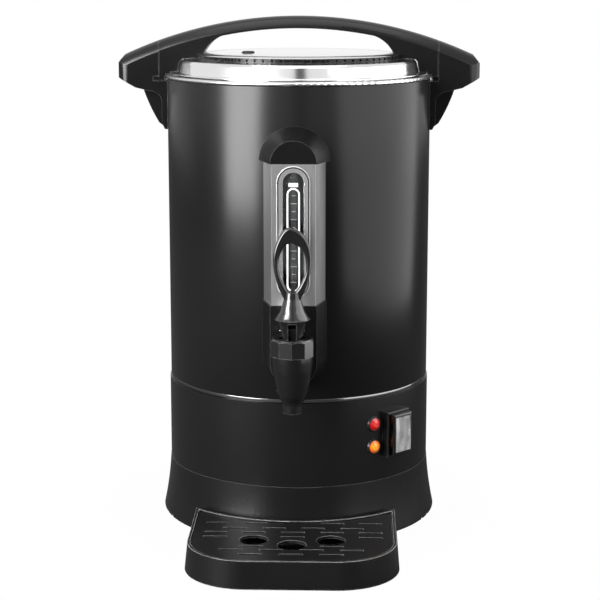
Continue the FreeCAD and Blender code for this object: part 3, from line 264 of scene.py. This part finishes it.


# clear in the middle with streaks of painted reflection (a white sheen mixed over the clear plastic), black
# round the border
def coverPlastic(name="coverPlastic"):
    look = {"border": 0.0026, "tuckedIn": 0.0015, "cut": 3000.0, "streak": 170.0, "bend": 1.46,
            "rough": 0.06, "spread": 0.10, "black": 0.004, "clear": (0.95, 0.96, 0.97, 1.0),
            "sheen": 0.5, "sheenTone": 0.8, "sheenGain": 1.6, "sheenFrom": 0.4}
    low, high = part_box("switch_cover")
    middle = middleOf("switch_cover")
    azimuth = math.atan2(middle.x, axisY - middle.y)
    along = (math.cos(azimuth), math.sin(azimuth), 0.0)
    halfWide = math.hypot(high.x - low.x, high.y - low.y) / 2 - look["tuckedIn"]
    halfTall = (high.z - low.z) / 2
    paint = Paint(name)
    moved = paint.node("ShaderNodeVectorMath", {"operation": "SUBTRACT"}, {0: paint.places, 1: middle})
    wide = paint.dot(moved, along).size() - (halfWide - look["border"])
    tall = paint.dot(moved, (0.0, 0.0, 1.0)).size() - (halfTall - look["border"])
    border = ((wide * look["cut"]).clamped() + (tall * look["cut"]).clamped()).clamped()
    streak = paint.noise(look["streak"], 3.0, (1.0, 1.0, 0.4))
    paint.set("Base Color", paint.mix(border, look["clear"], grey(look["black"])))
    paint.set("Roughness", look["rough"] + streak * look["spread"])
    paint.set("Transmission Weight", 1.0)
    paint.set("IOR", look["bend"])
    # a white diffuse sheen mixed in streaks over the clear plastic: a painted reflection
    sheen = paint.node("ShaderNodeBsdfDiffuse", {}, {"Color": grey(look["sheenTone"])}, "BSDF")
    patchy = (streak * look["sheenGain"] - look["sheenFrom"]).clamped()
    return paint.blendShader((1.0 - border) * patchy * look["sheen"], sheen)


def gaugeGlass(name="gaugeGlass"):
    look = {"film": 55.0, "deep": (0.05, 0.052, 0.055, 1.0), "filmTone": (0.13, 0.135, 0.14, 1.0),
            "rough": 0.08, "spread": 0.12, "through": 0.25}
    paint = Paint(name)
    film = paint.noise(look["film"], 4.0, (1.0, 1.0, 0.2))
    paint.set("Base Color", paint.mix(film, look["deep"], look["filmTone"]))
    paint.set("Roughness", look["rough"] + film * look["spread"])
    paint.set("Transmission Weight", look["through"])
    return paint


def lampLens(name, rim, middle, centre, glow):
    look = {"reach": 0.0048, "cells": 620.0, "spotGain": 1.1, "cellGain": 0.5, "less": 0.25,
            "rough": 0.10, "spread": 0.08, "coat": 0.3, "depth": 0.0003, "bump": 0.7}
    paint = Paint(name)
    moved = paint.node("ShaderNodeVectorMath", {"operation": "SUBTRACT"}, {0: paint.places, 1: centre})
    away = paint.node("ShaderNodeVectorMath", {"operation": "LENGTH"}, {0: moved}, "Value")
    spot = (1.0 - away / look["reach"]).clamped()
    cells = paint.node("ShaderNodeTexVoronoi", {}, {"Vector": paint.places, "Scale": look["cells"]})
    mask = (spot * look["spotGain"] + cells * look["cellGain"] - look["less"]).clamped()
    paint.set("Base Color", paint.mix(mask, rim, middle))
    paint.set("Emission Color", paint.mix(mask, rim, middle))
    paint.set("Emission Strength", glow)
    paint.set("Roughness", look["rough"] + cells * look["spread"])
    paint.set("Coat Weight", look["coat"])
    return paint.bump(cells, look["depth"], look["bump"])


def sealRubber(name="sealRubber"):
    look = {"speck": 1500.0, "dust": 30.0, "clean": 0.012, "dusty": 0.035, "rough": 0.72, "spread": 0.16,
            "depth": 0.00003, "bump": 0.6}
    paint = Paint(name)
    speck = paint.noise(look["speck"], 3.0)
    dust = paint.noise(look["dust"], 4.0)
    paint.set("Base Color", paint.mix(dust, grey(look["clean"]), grey(look["dusty"])))
    paint.set("Roughness", look["rough"] + dust * look["spread"])
    return paint.bump(speck, look["depth"], look["bump"])


def paleCeramic(name="paleCeramic"):
    look = {"speck": 420.0, "dark": (0.62, 0.58, 0.50, 1.0), "pale": (0.74, 0.71, 0.63, 1.0),
            "rough": 0.5, "spread": 0.2, "depth": 0.00002, "bump": 0.4}
    paint = Paint(name)
    speck = paint.noise(look["speck"], 3.0)
    paint.set("Base Color", paint.mix(speck, look["dark"], look["pale"]))
    paint.set("Roughness", look["rough"] + speck * look["spread"])
    return paint.bump(speck, look["depth"], look["bump"])


def brassPins(name="brassPins"):
    look = {"tarnish": 260.0, "dull": (0.45, 0.30, 0.10, 1.0), "bright": (0.78, 0.60, 0.28, 1.0),
            "rough": 0.22, "spread": 0.22}
    paint = Paint(name)
    tarnish = paint.noise(look["tarnish"], 4.0)
    paint.set("Base Color", paint.mix(tarnish, look["dull"], look["bright"]))
    paint.set("Metallic", 1.0)
    paint.set("Roughness", look["rough"] + tarnish * look["spread"])
    return paint


def printedWhite(name="printedWhite", tone=0.86):
    look = {"rub": 500.0, "patchy": 0.84, "rough": 0.38, "spread": 0.15}
    paint = Paint(name)
    rub = paint.noise(look["rub"], 3.0)
    paint.set("Base Color", paint.mix(rub, grey(tone * look["patchy"]), grey(tone)))
    paint.set("Roughness", look["rough"] + rub * look["spread"])
    return paint


def middleOf(node):
    low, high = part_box(node)
    return (low + high) / 2


def frontOfLamp(node):
    outward = 1.2 * mm
    middle = middleOf(node)
    away = Vector((middle.x, middle.y - axisY, 0.0)).normalized()
    return middle + away * outward


paints = {
    # black and grille plastics: their lighter edges are partly wear and partly a painted highlight along
    # the rims and slots
    "black_plastic": mouldedPlastic(),
    "grille_plastic": mouldedPlastic("grillePlastic", 0.003, 0.32, 0.55),
    "black_enamel": satinEnamel(),
    "bright_steel": polishedSteel(),
    "brushed_steel": brushedSteel(),
    "zinc_plate": brushedSteel("zincPlate", 0.5, 0.4, (1.0, 1.0, 1.0)),
    "dark_plate": mouldedPlastic("darkPlate", 0.006, 0.5, 0.02),
    "seal_rubber": sealRubber(),
    "clear_plastic": clearPlastic(),
    "gauge_glass": gaugeGlass(),
    "pale_plastic": paleCeramic(),
    "brass_pins": brassPins(),
    "red_lens": lampLens("redLens", (0.30, 0.002, 0.003, 1.0), (0.75, 0.03, 0.02, 1.0),
                         frontOfLamp("lamp_lens_heating"), 0.12),
    "amber_lens": lampLens("amberLens", (0.55, 0.08, 0.003, 1.0), (1.0, 0.40, 0.03, 1.0),
                           frontOfLamp("lamp_lens_ready"), 0.22),
}
# nodes whose look differs from that of their slot
ownPaints = {
    # the seam ring takes a darker copy of the polished steel: painted shade, so that it shows bright only
    # where a softbox reflects
    "seam_ring": polishedSteel("seamSteelShaded", 0.20),
    "gauge_cover": brushedSteel("gaugeCheek", 0.60, 0.30, (1.0, 1.0, 0.2), 0.96),
    "gauge_frame": brushedSteel("gaugeRim", 0.90, 0.20, (1.0, 1.0, 0.2), 0.90),
    # the tray, lever, collar and tap take lighter edges, partly wear and partly a painted highlight; the
    # tray's pale rim is mostly painted highlight
    "drip_tray": mouldedPlastic("trayPlastic", 0.003, 0.28, 0.80, 0.0012),
    "tap_lever": mouldedPlastic("leverPlastic", 0.004, 0.20, 0.25, 0.0006, 0.6),
    "tap_collar": mouldedPlastic("collarPlastic", 0.004, 0.20, 0.35, 0.0006, 0.6),
    "tap_body": mouldedPlastic("tapPlastic", 0.003, 0.24, 0.20, 0.0006, 0.4),
    "switch_cover": coverPlastic(),
}
print("materials ready:", len(paints) + len(ownPaints))


def deselectAll():
    if bpy.context.mode != "OBJECT":
        bpy.ops.object.mode_set(mode="OBJECT")
    bpy.ops.object.select_all(action="DESELECT")


def pickOnly(piece):
    deselectAll()
    piece.select_set(True)
    bpy.context.view_layer.objects.active = piece


def addModifier(piece, kind, settings):
    pickOnly(piece)
    made = piece.modifiers.new(kind.lower(), kind)
    for key, value in settings.items():
        setattr(made, key, value)
    bpy.ops.object.modifier_apply(modifier=made.name)


def roundEdges(piece, width, segments=2, angle=40.0):
    addModifier(piece, "BEVEL", {"width": width, "segments": segments, "limit_method": "ANGLE",
                                 "angle_limit": math.radians(angle), "use_clamp_overlap": True})


# place applied, smooth, painted, and riding on its body
def finishPiece(piece, name, body, slot, paint=None, angle=32.0):
    pickOnly(piece)
    piece.name = name
    piece.data.name = name
    bpy.ops.object.transform_apply(location=True, rotation=True, scale=True)
    bpy.ops.object.shade_smooth_by_angle(angle=math.radians(angle))
    piece.data.materials.clear()
    piece.data.materials.append((paint or paints[slot]).material)
    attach(piece, body)
    return piece


# a CAD node's own form, welded and with its edges eased
def easedNode(node, width):
    mesh = {"weld": 0.000004, "flat": 0.4, "smooth": 32.0}
    pickOnly(frame["nodes"][node])
    bpy.ops.object.duplicate()
    piece = bpy.context.object
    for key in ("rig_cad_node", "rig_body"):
        if key in piece:
            del piece[key]
    piece.parent = None
    piece.hide_render = False
    bpy.ops.object.mode_set(mode="EDIT")
    bpy.ops.mesh.select_all(action="SELECT")
    bpy.ops.mesh.customdata_custom_splitnormals_clear()
    bpy.ops.mesh.remove_doubles(threshold=mesh["weld"])
    bpy.ops.mesh.dissolve_limited(angle_limit=math.radians(mesh["flat"]))
    bpy.ops.object.mode_set(mode="OBJECT")
    if width:
        roundEdges(piece, width)
    smooth = shadeAngle.get(node, mesh["smooth"])
    finishPiece(piece, node + ".eased", bodyOf[node], slotOf[node], ownPaints.get(node), smooth)
    if width:
        addModifier(piece, "WEIGHTED_NORMAL", {"keep_sharp": True})
    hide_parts(node)
    return piece


# an outline of radius and height, spun about an upright line
def turnedPiece(corners, centre, steps, closed=True):
    deselectAll()
    first = Vector((corners[0][0], 0.0, corners[0][1]))
    bpy.ops.mesh.primitive_plane_add(size=0.001, location=centre + first)
    piece = bpy.context.object
    bpy.ops.object.mode_set(mode="EDIT")
    bpy.ops.mesh.select_all(action="SELECT")
    bpy.ops.mesh.merge(type="CENTER")
    route = corners + corners[:1] if closed else corners
    for here, there in zip(route, route[1:]):
        step = (there[0] - here[0], 0.0, there[1] - here[1])
        bpy.ops.mesh.extrude_vertices_move(TRANSFORM_OT_translate={"value": step})
    bpy.ops.mesh.select_all(action="SELECT")
    bpy.ops.mesh.spin(steps=steps, angle=2 * math.pi, center=centre, axis=(0.0, 0.0, 1.0))
    bpy.ops.mesh.select_all(action="SELECT")
    bpy.ops.mesh.remove_doubles(threshold=0.000002)
    bpy.ops.mesh.normals_make_consistent(inside=False)
    bpy.ops.object.mode_set(mode="OBJECT")
    return piece


def makeBarrel():
    barrel = {"wall": 0.8 * mm, "steps": 192, "round": 0.35 * mm, "inTurn": 8.0 * mm}
    low, high = barrelBox
    r = (high.x - low.x) / 2
    inner = r - barrel["wall"]
    corners = [(r, low.z), (r, high.z), (inner, high.z), (inner, low.z + barrel["wall"]),
               (inner - barrel["inTurn"], low.z + barrel["wall"]), (inner - barrel["inTurn"], low.z)]
    piece = turnedPiece(corners, axisFoot, barrel["steps"])
    roundEdges(piece, barrel["round"])
    finishPiece(piece, "barrel", "urn", "black_enamel")
    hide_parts("outer_jacket")


def makeSeam():
    seam = {"depth": 7.0 * mm, "steps": 192, "round": 0.45 * mm}
    low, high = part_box("seam_ring")
    r = (high.x - low.x) / 2
    piece = turnedPiece([(r, low.z), (r, high.z), (r - seam["depth"], high.z), (r - seam["depth"], low.z)],
                        axisFoot, seam["steps"])
    roundEdges(piece, seam["round"], 3)
    finishPiece(piece, "seamRing", "urn", "bright_steel", ownPaints["seam_ring"])
    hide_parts("seam_ring")


def makeLidPan():
    lid = {"sheet": 1.0 * mm, "steps": 192, "round": 0.9 * mm, "wallOut": 102.5 * mm, "wallTop": 100.5 * mm,
           "shoulder": 90.0 * mm, "inner": 77.0 * mm, "plug": 102.8 * mm, "flangeUp": 7.0 * mm,
           "wallDown": 3.0 * mm, "turnIn": 2.0 * mm, "turnUp": 2.0 * mm, "slope": 25.0}
    low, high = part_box("lid_pan")
    flange = (high.x - low.x) / 2
    t = lid["sheet"]
    flangeZ = low.z + lid["flangeUp"]
    wallTopZ = high.z - lid["wallDown"]
    corners = [(flange, flangeZ), (flange, flangeZ + t), (lid["wallOut"], flangeZ + t),
               (lid["wallTop"], wallTopZ), (lid["wallTop"] - lid["turnIn"], wallTopZ + lid["turnUp"]),
               (lid["shoulder"], high.z), (lid["inner"], high.z), (lid["inner"], high.z - t),
               (lid["shoulder"] - 0.5 * mm, high.z - t),
               (lid["wallTop"] - 2.7 * mm, wallTopZ + 1.0 * mm), (lid["wallTop"] - t, wallTopZ - 0.4 * mm),
               (lid["plug"] - t, flangeZ + t), (lid["plug"] - t, low.z), (lid["plug"], low.z),
               (lid["plug"], flangeZ)]
    piece = turnedPiece(corners, axisFoot, lid["steps"])
    roundEdges(piece, lid["round"], 3, lid["slope"])
    finishPiece(piece, "lidPan", "lid", "bright_steel")
    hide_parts("lid_pan")


# the flat disc on top, with its low crown and small steam cap
def makeLidTop():
    disc = {"steps": 192, "rim": 0.6 * mm, "round": 0.3 * mm, "capX": -42.0 * mm, "capY": -20.0 * mm,
            "capR": 6.0 * mm, "capTall": 1.6 * mm, "capHole": 1.2 * mm, "capUp": 1.9 * mm,
            "capSlope": 1.5 * mm, "capLip": 0.5 * mm, "capSteps": 40, "r": 88.0 * mm,
            "seat": 14.0 * mm, "smooth": 45.0}
    low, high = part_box("lid_top")
    r = disc["r"]
    seat = r - disc["seat"]
    corners = [(0.0, low.z + 1.2 * mm), (seat, low.z + 0.4 * mm), (seat, low.z), (r - disc["rim"], low.z),
               (r, low.z + 0.5 * mm), (r - 0.8 * mm, low.z + 1.0 * mm), (0.75 * r, low.z + 1.6 * mm),
               (0.5 * r, low.z + 2.2 * mm), (0.25 * r, high.z - 0.1 * mm), (0.0, high.z)]
    piece = turnedPiece(corners, axisFoot, disc["steps"], False)
    finishPiece(piece, "lidTop", "lid", "bright_steel", None, disc["smooth"])
    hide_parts("lid_top")
    foot = Vector((disc["capX"], axisY + disc["capY"], 0.0))
    z = low.z + disc["capUp"]
    top = z + disc["capTall"]
    hole = disc["capHole"]
    outline = [(hole, top - disc["capLip"]), (hole, top), (disc["capR"] - disc["capSlope"], top),
               (disc["capR"], z), (hole, z)]
    cap = turnedPiece(outline, foot, disc["capSteps"])
    roundEdges(cap, disc["round"])
    finishPiece(cap, "steamCap", "lid", "black_plastic")


# an upright ring with round ends, facing the front
def capsuleRing(front, low, high, wide, band, thick):
    ends = {"corners": 48, "above": 0.00001, "round": 0.3}
    deselectAll()
    r = wide / 2
    turn = (math.pi / 2, 0.0, 0.0)
    bpy.ops.mesh.primitive_circle_add(vertices=ends["corners"], radius=r, fill_type="NGON",
                                      location=(0.0, front, low + r), rotation=turn)
    piece = bpy.context.object
    bpy.ops.object.transform_apply(location=True, rotation=True, scale=True)
    for vertex in piece.data.vertices:
        vertex.select = vertex.co.z > low + r + ends["above"]
    for edge in piece.data.edges:
        edge.select = all(piece.data.vertices[i].select for i in edge.vertices)
    piece.data.polygons[0].select = False
    bpy.ops.object.mode_set(mode="EDIT")
    bpy.ops.transform.translate(value=(0.0, 0.0, high - low - wide))
    bpy.ops.mesh.select_all(action="SELECT")
    bpy.ops.mesh.inset(thickness=band)
    bpy.ops.mesh.delete(type="FACE")
    bpy.ops.object.mode_set(mode="OBJECT")
    addModifier(piece, "SOLIDIFY", {"thickness": thick, "offset": 0.0})
    roundEdges(piece, thick * ends["round"], 3)
    return piece


def makeGaugeScale():
    scale = {"ticks": 13, "firstZ": 226.0 * mm, "lastZ": 302.0 * mm, "wide": 5.0 * mm, "tall": 0.7 * mm,
             "thick": 0.15 * mm, "plateZ": 305.0 * mm, "plateTall": 3.0 * mm, "plateWide": 7.4 * mm,
             "ringWide": 10.4 * mm, "ringBand": 1.15 * mm, "ringLow": 219.5 * mm, "ringHigh": 302.5 * mm,
             "ringThick": 0.8 * mm, "rimBand": 1.5 * mm, "rimThick": 0.3 * mm, "rimIn": 0.15 * mm,
             "shortTick": 0.6, "tickOut": 0.1 * mm, "tickRound": 0.04 * mm, "plateThick": 0.4 * mm,
             "plateIn": 0.5 * mm, "plateRound": 0.1 * mm, "tickTone": 0.40, "ringTone": 0.9}
    low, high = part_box("gauge_tube")
    front = low.y
    marks = []
    for index in range(scale["ticks"]):
        share = index / (scale["ticks"] - 1)
        wide = scale["wide"] if index % 2 == 0 else scale["wide"] * scale["shortTick"]
        z = scale["firstZ"] + share * (scale["lastZ"] - scale["firstZ"])
        size = (wide, scale["thick"], scale["tall"])
        marks.append(boxPiece((0.0, front - scale["tickOut"], z), size))
    ticks = joinPieces(marks)
    roundEdges(ticks, scale["tickRound"])
    tickPaint = printedWhite("gaugeTickPrint", scale["tickTone"])
    finishPiece(ticks, "gaugeTicks", "urn", "dark_plate", tickPaint)
    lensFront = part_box("gauge_lens")[0].y
    plate = boxPiece((0.0, lensFront + scale["plateIn"], scale["plateZ"]),
                     (scale["plateWide"], scale["plateThick"], scale["plateTall"]))
    roundEdges(plate, scale["plateRound"])
    finishPiece(plate, "gaugePlate", "urn", "pale_plastic", printedWhite("gaugePlatePrint"))
    ring = capsuleRing(lensFront, scale["ringLow"], scale["ringHigh"], scale["ringWide"], scale["ringBand"],
                       scale["ringThick"])
    ringPaint = printedWhite("gaugeRingPrint", scale["ringTone"])
    finishPiece(ring, "gaugeRing", "urn", "pale_plastic", ringPaint)
    low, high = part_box("gauge_frame")
    rim = capsuleRing(low.y + scale["rimIn"], low.z, high.z, high.x - low.x, scale["rimBand"],
                      scale["rimThick"])
    rimPaint = brushedSteel("rimSteel", 0.92, 0.25, (1.0, 1.0, 0.2), 0.35)
    finishPiece(rim, "gaugeRim", "urn", "bright_steel", rimPaint)


# a wound wire coil in the tap spring's place, riding on its body
def makeSpring():
    coil = {"wire": 0.55 * mm, "turns": 6, "sides": 10, "steps": 28, "topZ": 173.0 * mm,
            "travel": 7.0 * mm, "endRoom": 1.1, "weld": 0.000002, "smooth": 60.0}
    low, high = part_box("tap_spring")
    middle = (low + high) / 2
    wire = coil["wire"]
    tall = high.z - low.z
    r = (high.x - low.x) / 2 - wire
    pitch = (tall - 2 * coil["endRoom"] * wire) / coil["turns"]
    deselectAll()
    bpy.ops.mesh.primitive_circle_add(vertices=coil["sides"], radius=wire, fill_type="NOTHING",
                                      location=(r, 0.0, 0.0), rotation=(math.pi / 2, 0.0, 0.0))
    piece = bpy.context.object
    bpy.ops.object.transform_apply(location=True, rotation=True, scale=True)
    addModifier(piece, "SCREW", {"axis": "Z", "angle": 2 * math.pi, "screw_offset": pitch,
                                 "iterations": coil["turns"], "steps": coil["steps"]})
    bpy.ops.object.mode_set(mode="EDIT")
    bpy.ops.mesh.select_all(action="DESELECT")
    bpy.ops.mesh.select_non_manifold()
    bpy.ops.mesh.edge_face_add()
    bpy.ops.mesh.select_all(action="SELECT")
    bpy.ops.mesh.remove_doubles(threshold=coil["weld"])
    bpy.ops.mesh.normals_make_consistent(inside=False)
    bpy.ops.object.mode_set(mode="OBJECT")
    piece.location = (middle.x, middle.y, low.z + coil["endRoom"] * wire)
    finishPiece(piece, "tapCoil", bodyOf["tap_spring"], "brushed_steel", None, coil["smooth"])
    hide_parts("tap_spring")
    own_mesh(piece)


def boxPiece(place, size):
    deselectAll()
    bpy.ops.mesh.primitive_cube_add(size=1.0, location=place, scale=size)
    return bpy.context.object


def joinPieces(pieces):
    deselectAll()
    for piece in pieces:
        piece.select_set(True)
    bpy.context.view_layer.objects.active = pieces[0]
    bpy.ops.object.join()
    return bpy.context.object


# nodes with flats that would otherwise shade as one round, in degrees
shadeAngle = {"tap_collar": 14.0}

# how far each node's edges are rounded, in mm
easing = {
    "base_skirt": 0.5, "base_housing": 0.25, "inner_vessel": 0.0,
    "side_handle_right": 0.7, "side_handle_left": 0.7,
    "lid_vent_ring": 0.2, "lid_handle": 0.7, "gauge_cover": 0.5, "gauge_frame": 0.35, "gauge_lens": 0.2,
    "gauge_backplate": 0.3, "gauge_tube": 0.0, "gauge_cap": 0.7, "tap_fairing": 0.7, "tap_body": 0.5,
    "tap_collar": 0.35, "tap_lever": 0.3, "tap_stem": 0.25, "tap_pin": 0.2, "switch_bezel": 0.35,
    "switch_rocker": 0.4, "switch_cover": 0.3, "power_inlet": 0.4, "inlet_pins": 0.25, "drip_tray": 0.7,
    "drip_grille": 0.3, "lamp_bezel_heating": 0.2, "lamp_bezel_ready": 0.2, "lamp_lens_heating": 0.12,
    "lamp_lens_ready": 0.12, "foot_1": 0.5, "foot_2": 0.5, "foot_3": 0.5, "foot_4": 0.5,
    "bottom_plate": 0.3,
    "lid_screws": 0.2, "handle_screws": 0.2,
}

makeBarrel()
makeSeam()
makeLidPan()
makeLidTop()
print("turned pieces done")
for node, width in easing.items():
    easedNode(node, width * mm)
print("eased pieces done:", len(easing))
makeGaugeScale()
makeSpring()
for node, piece in frame["nodes"].items():
    piece.data.materials.clear()
    piece.data.materials.append(paints[slotOf[node]].material)
print("inner pieces painted")


def addSoftbox(name, azimuth, distance, height, size, energy, target):
    deselectAll()
    angle = math.radians(azimuth)
    place = Vector((distance * math.sin(angle), axisY - distance * math.cos(angle), height))
    bpy.ops.object.light_add(type="AREA", location=place)
    light = bpy.context.object
    light.name = name
    light.data.shape = "RECTANGLE"
    light.data.size = size[0]
    light.data.size_y = size[1]
    light.data.energy = energy
    light.rotation_euler = (Vector(target) - place).to_track_quat("-Z", "Y").to_euler()
    return light


def makeFloor():
    paper = {"size": 30.0, "tone": 0.03, "nearLift": 0.965, "liftPerMetre": 0.16}
    deselectAll()
    bpy.ops.mesh.primitive_plane_add(size=paper["size"], location=(0.0, 0.0, 0.0))
    floor = bpy.context.object
    floor.name = "studioFloor"
    paint = Paint("studioPaper")
    path = paint.tree.nodes.new("ShaderNodeLightPath")
    seen = Signal(paint, path.outputs["Is Camera Ray"]) + Signal(paint, path.outputs["Is Transmission Ray"])
    lift = (paint.reach(axisFoot) * paper["liftPerMetre"] + paper["nearLift"]).clamped()
    paint.set("Base Color", grey(paper["tone"]))
    paint.set("Roughness", 0.9)
    glow = paint.node("ShaderNodeEmission", {}, {"Color": grey(1.0), "Strength": 1.0}, "Emission")
    paint.blendShader(seen.clamped() * lift, glow)
    floor.data.materials.append(paint.material)


# white where the camera looks, a bright tent with a dark gap at the front for gloss, and dim for the rest
def makeWorld():
    tent = {"gloss": 1.0, "low": 0.05, "dim": 0.16, "gapAt": 0.05, "gapWide": 0.085, "rise": 0.06,
            "riseSharp": 12.0, "behindSharp": 3.0, "gapSharp": 60.0}
    world = bpy.data.worlds.new("studioTent")
    bpy.context.scene.world = world
    world.use_nodes = True
    paint = Paint("studioTent", world.node_tree)
    path = paint.tree.nodes.new("ShaderNodeLightPath")
    way = paint.node("ShaderNodeTexCoord", {}, {}, "Generated")
    parts = paint.tree.nodes.new("ShaderNodeSeparateXYZ")
    paint.feed(parts.inputs[0], way)
    x, y, z = (Signal(paint, parts.outputs[i]) for i in range(3))
    high = ((z - tent["rise"]) * tent["riseSharp"]).clamped()
    behind = (y * tent["behindSharp"]).clamped()
    aside = (x - tent["gapAt"]).size()
    gap = 1.0 - ((tent["gapWide"] - aside) * tent["gapSharp"]).clamped() * (1.0 - behind)
    bright = paint.node("ShaderNodeMath", {"operation": "MAXIMUM"}, {0: high * gap, 1: behind})
    gloss = bright * (tent["gloss"] - tent["low"]) + tent["low"]
    camera = Signal(paint, path.outputs["Is Camera Ray"])
    shiny = Signal(paint, path.outputs["Is Glossy Ray"])
    clear = Signal(paint, path.outputs["Is Transmission Ray"])
    seen = (camera + clear).clamped()
    strength = seen + (1.0 - seen) * (shiny * gloss + (1.0 - shiny) * tent["dim"])
    back = paint.tree.nodes["Background"]
    back.inputs["Color"].default_value = grey(1.0)
    paint.feed(back.inputs["Strength"], strength)


def makeStudio():
    studio = {"left": (-47.0, 1.6, 0.92, (0.95, 1.65), 120.0), "right": (76.0, 0.52, 0.36, (0.9, 0.7), 6.0),
              "top": (0.0, 0.1, 1.9, (1.2, 1.2), 10.0)}
    target = (0.0, axisY, 0.25)
    for name, (azimuth, distance, height, size, energy) in studio.items():
        addSoftbox(name + "Softbox", azimuth, distance, height, size, energy, target)
    makeFloor()
    makeWorld()


def makeCamera():
    view = {"place": (0.0463, -1.4192, 0.4785), "tilt": 78.76, "turn": 1.8, "lens": 102.6, "shiftX": 0.002}
    data = bpy.data.cameras.new("photoCamera")
    data.lens = view["lens"]
    data.sensor_width = 36.0
    data.shift_x = view["shiftX"]
    camera = bpy.data.objects.new("photoCamera", data)
    bpy.context.scene.collection.objects.link(camera)
    camera.location = view["place"]
    camera.rotation_euler = (math.radians(view["tilt"]), 0.0, math.radians(view["turn"]))
    bpy.context.scene.camera = camera


makeStudio()
makeCamera()
bpy.context.scene.view_settings.view_transform = "Standard"
print("studio and camera ready")
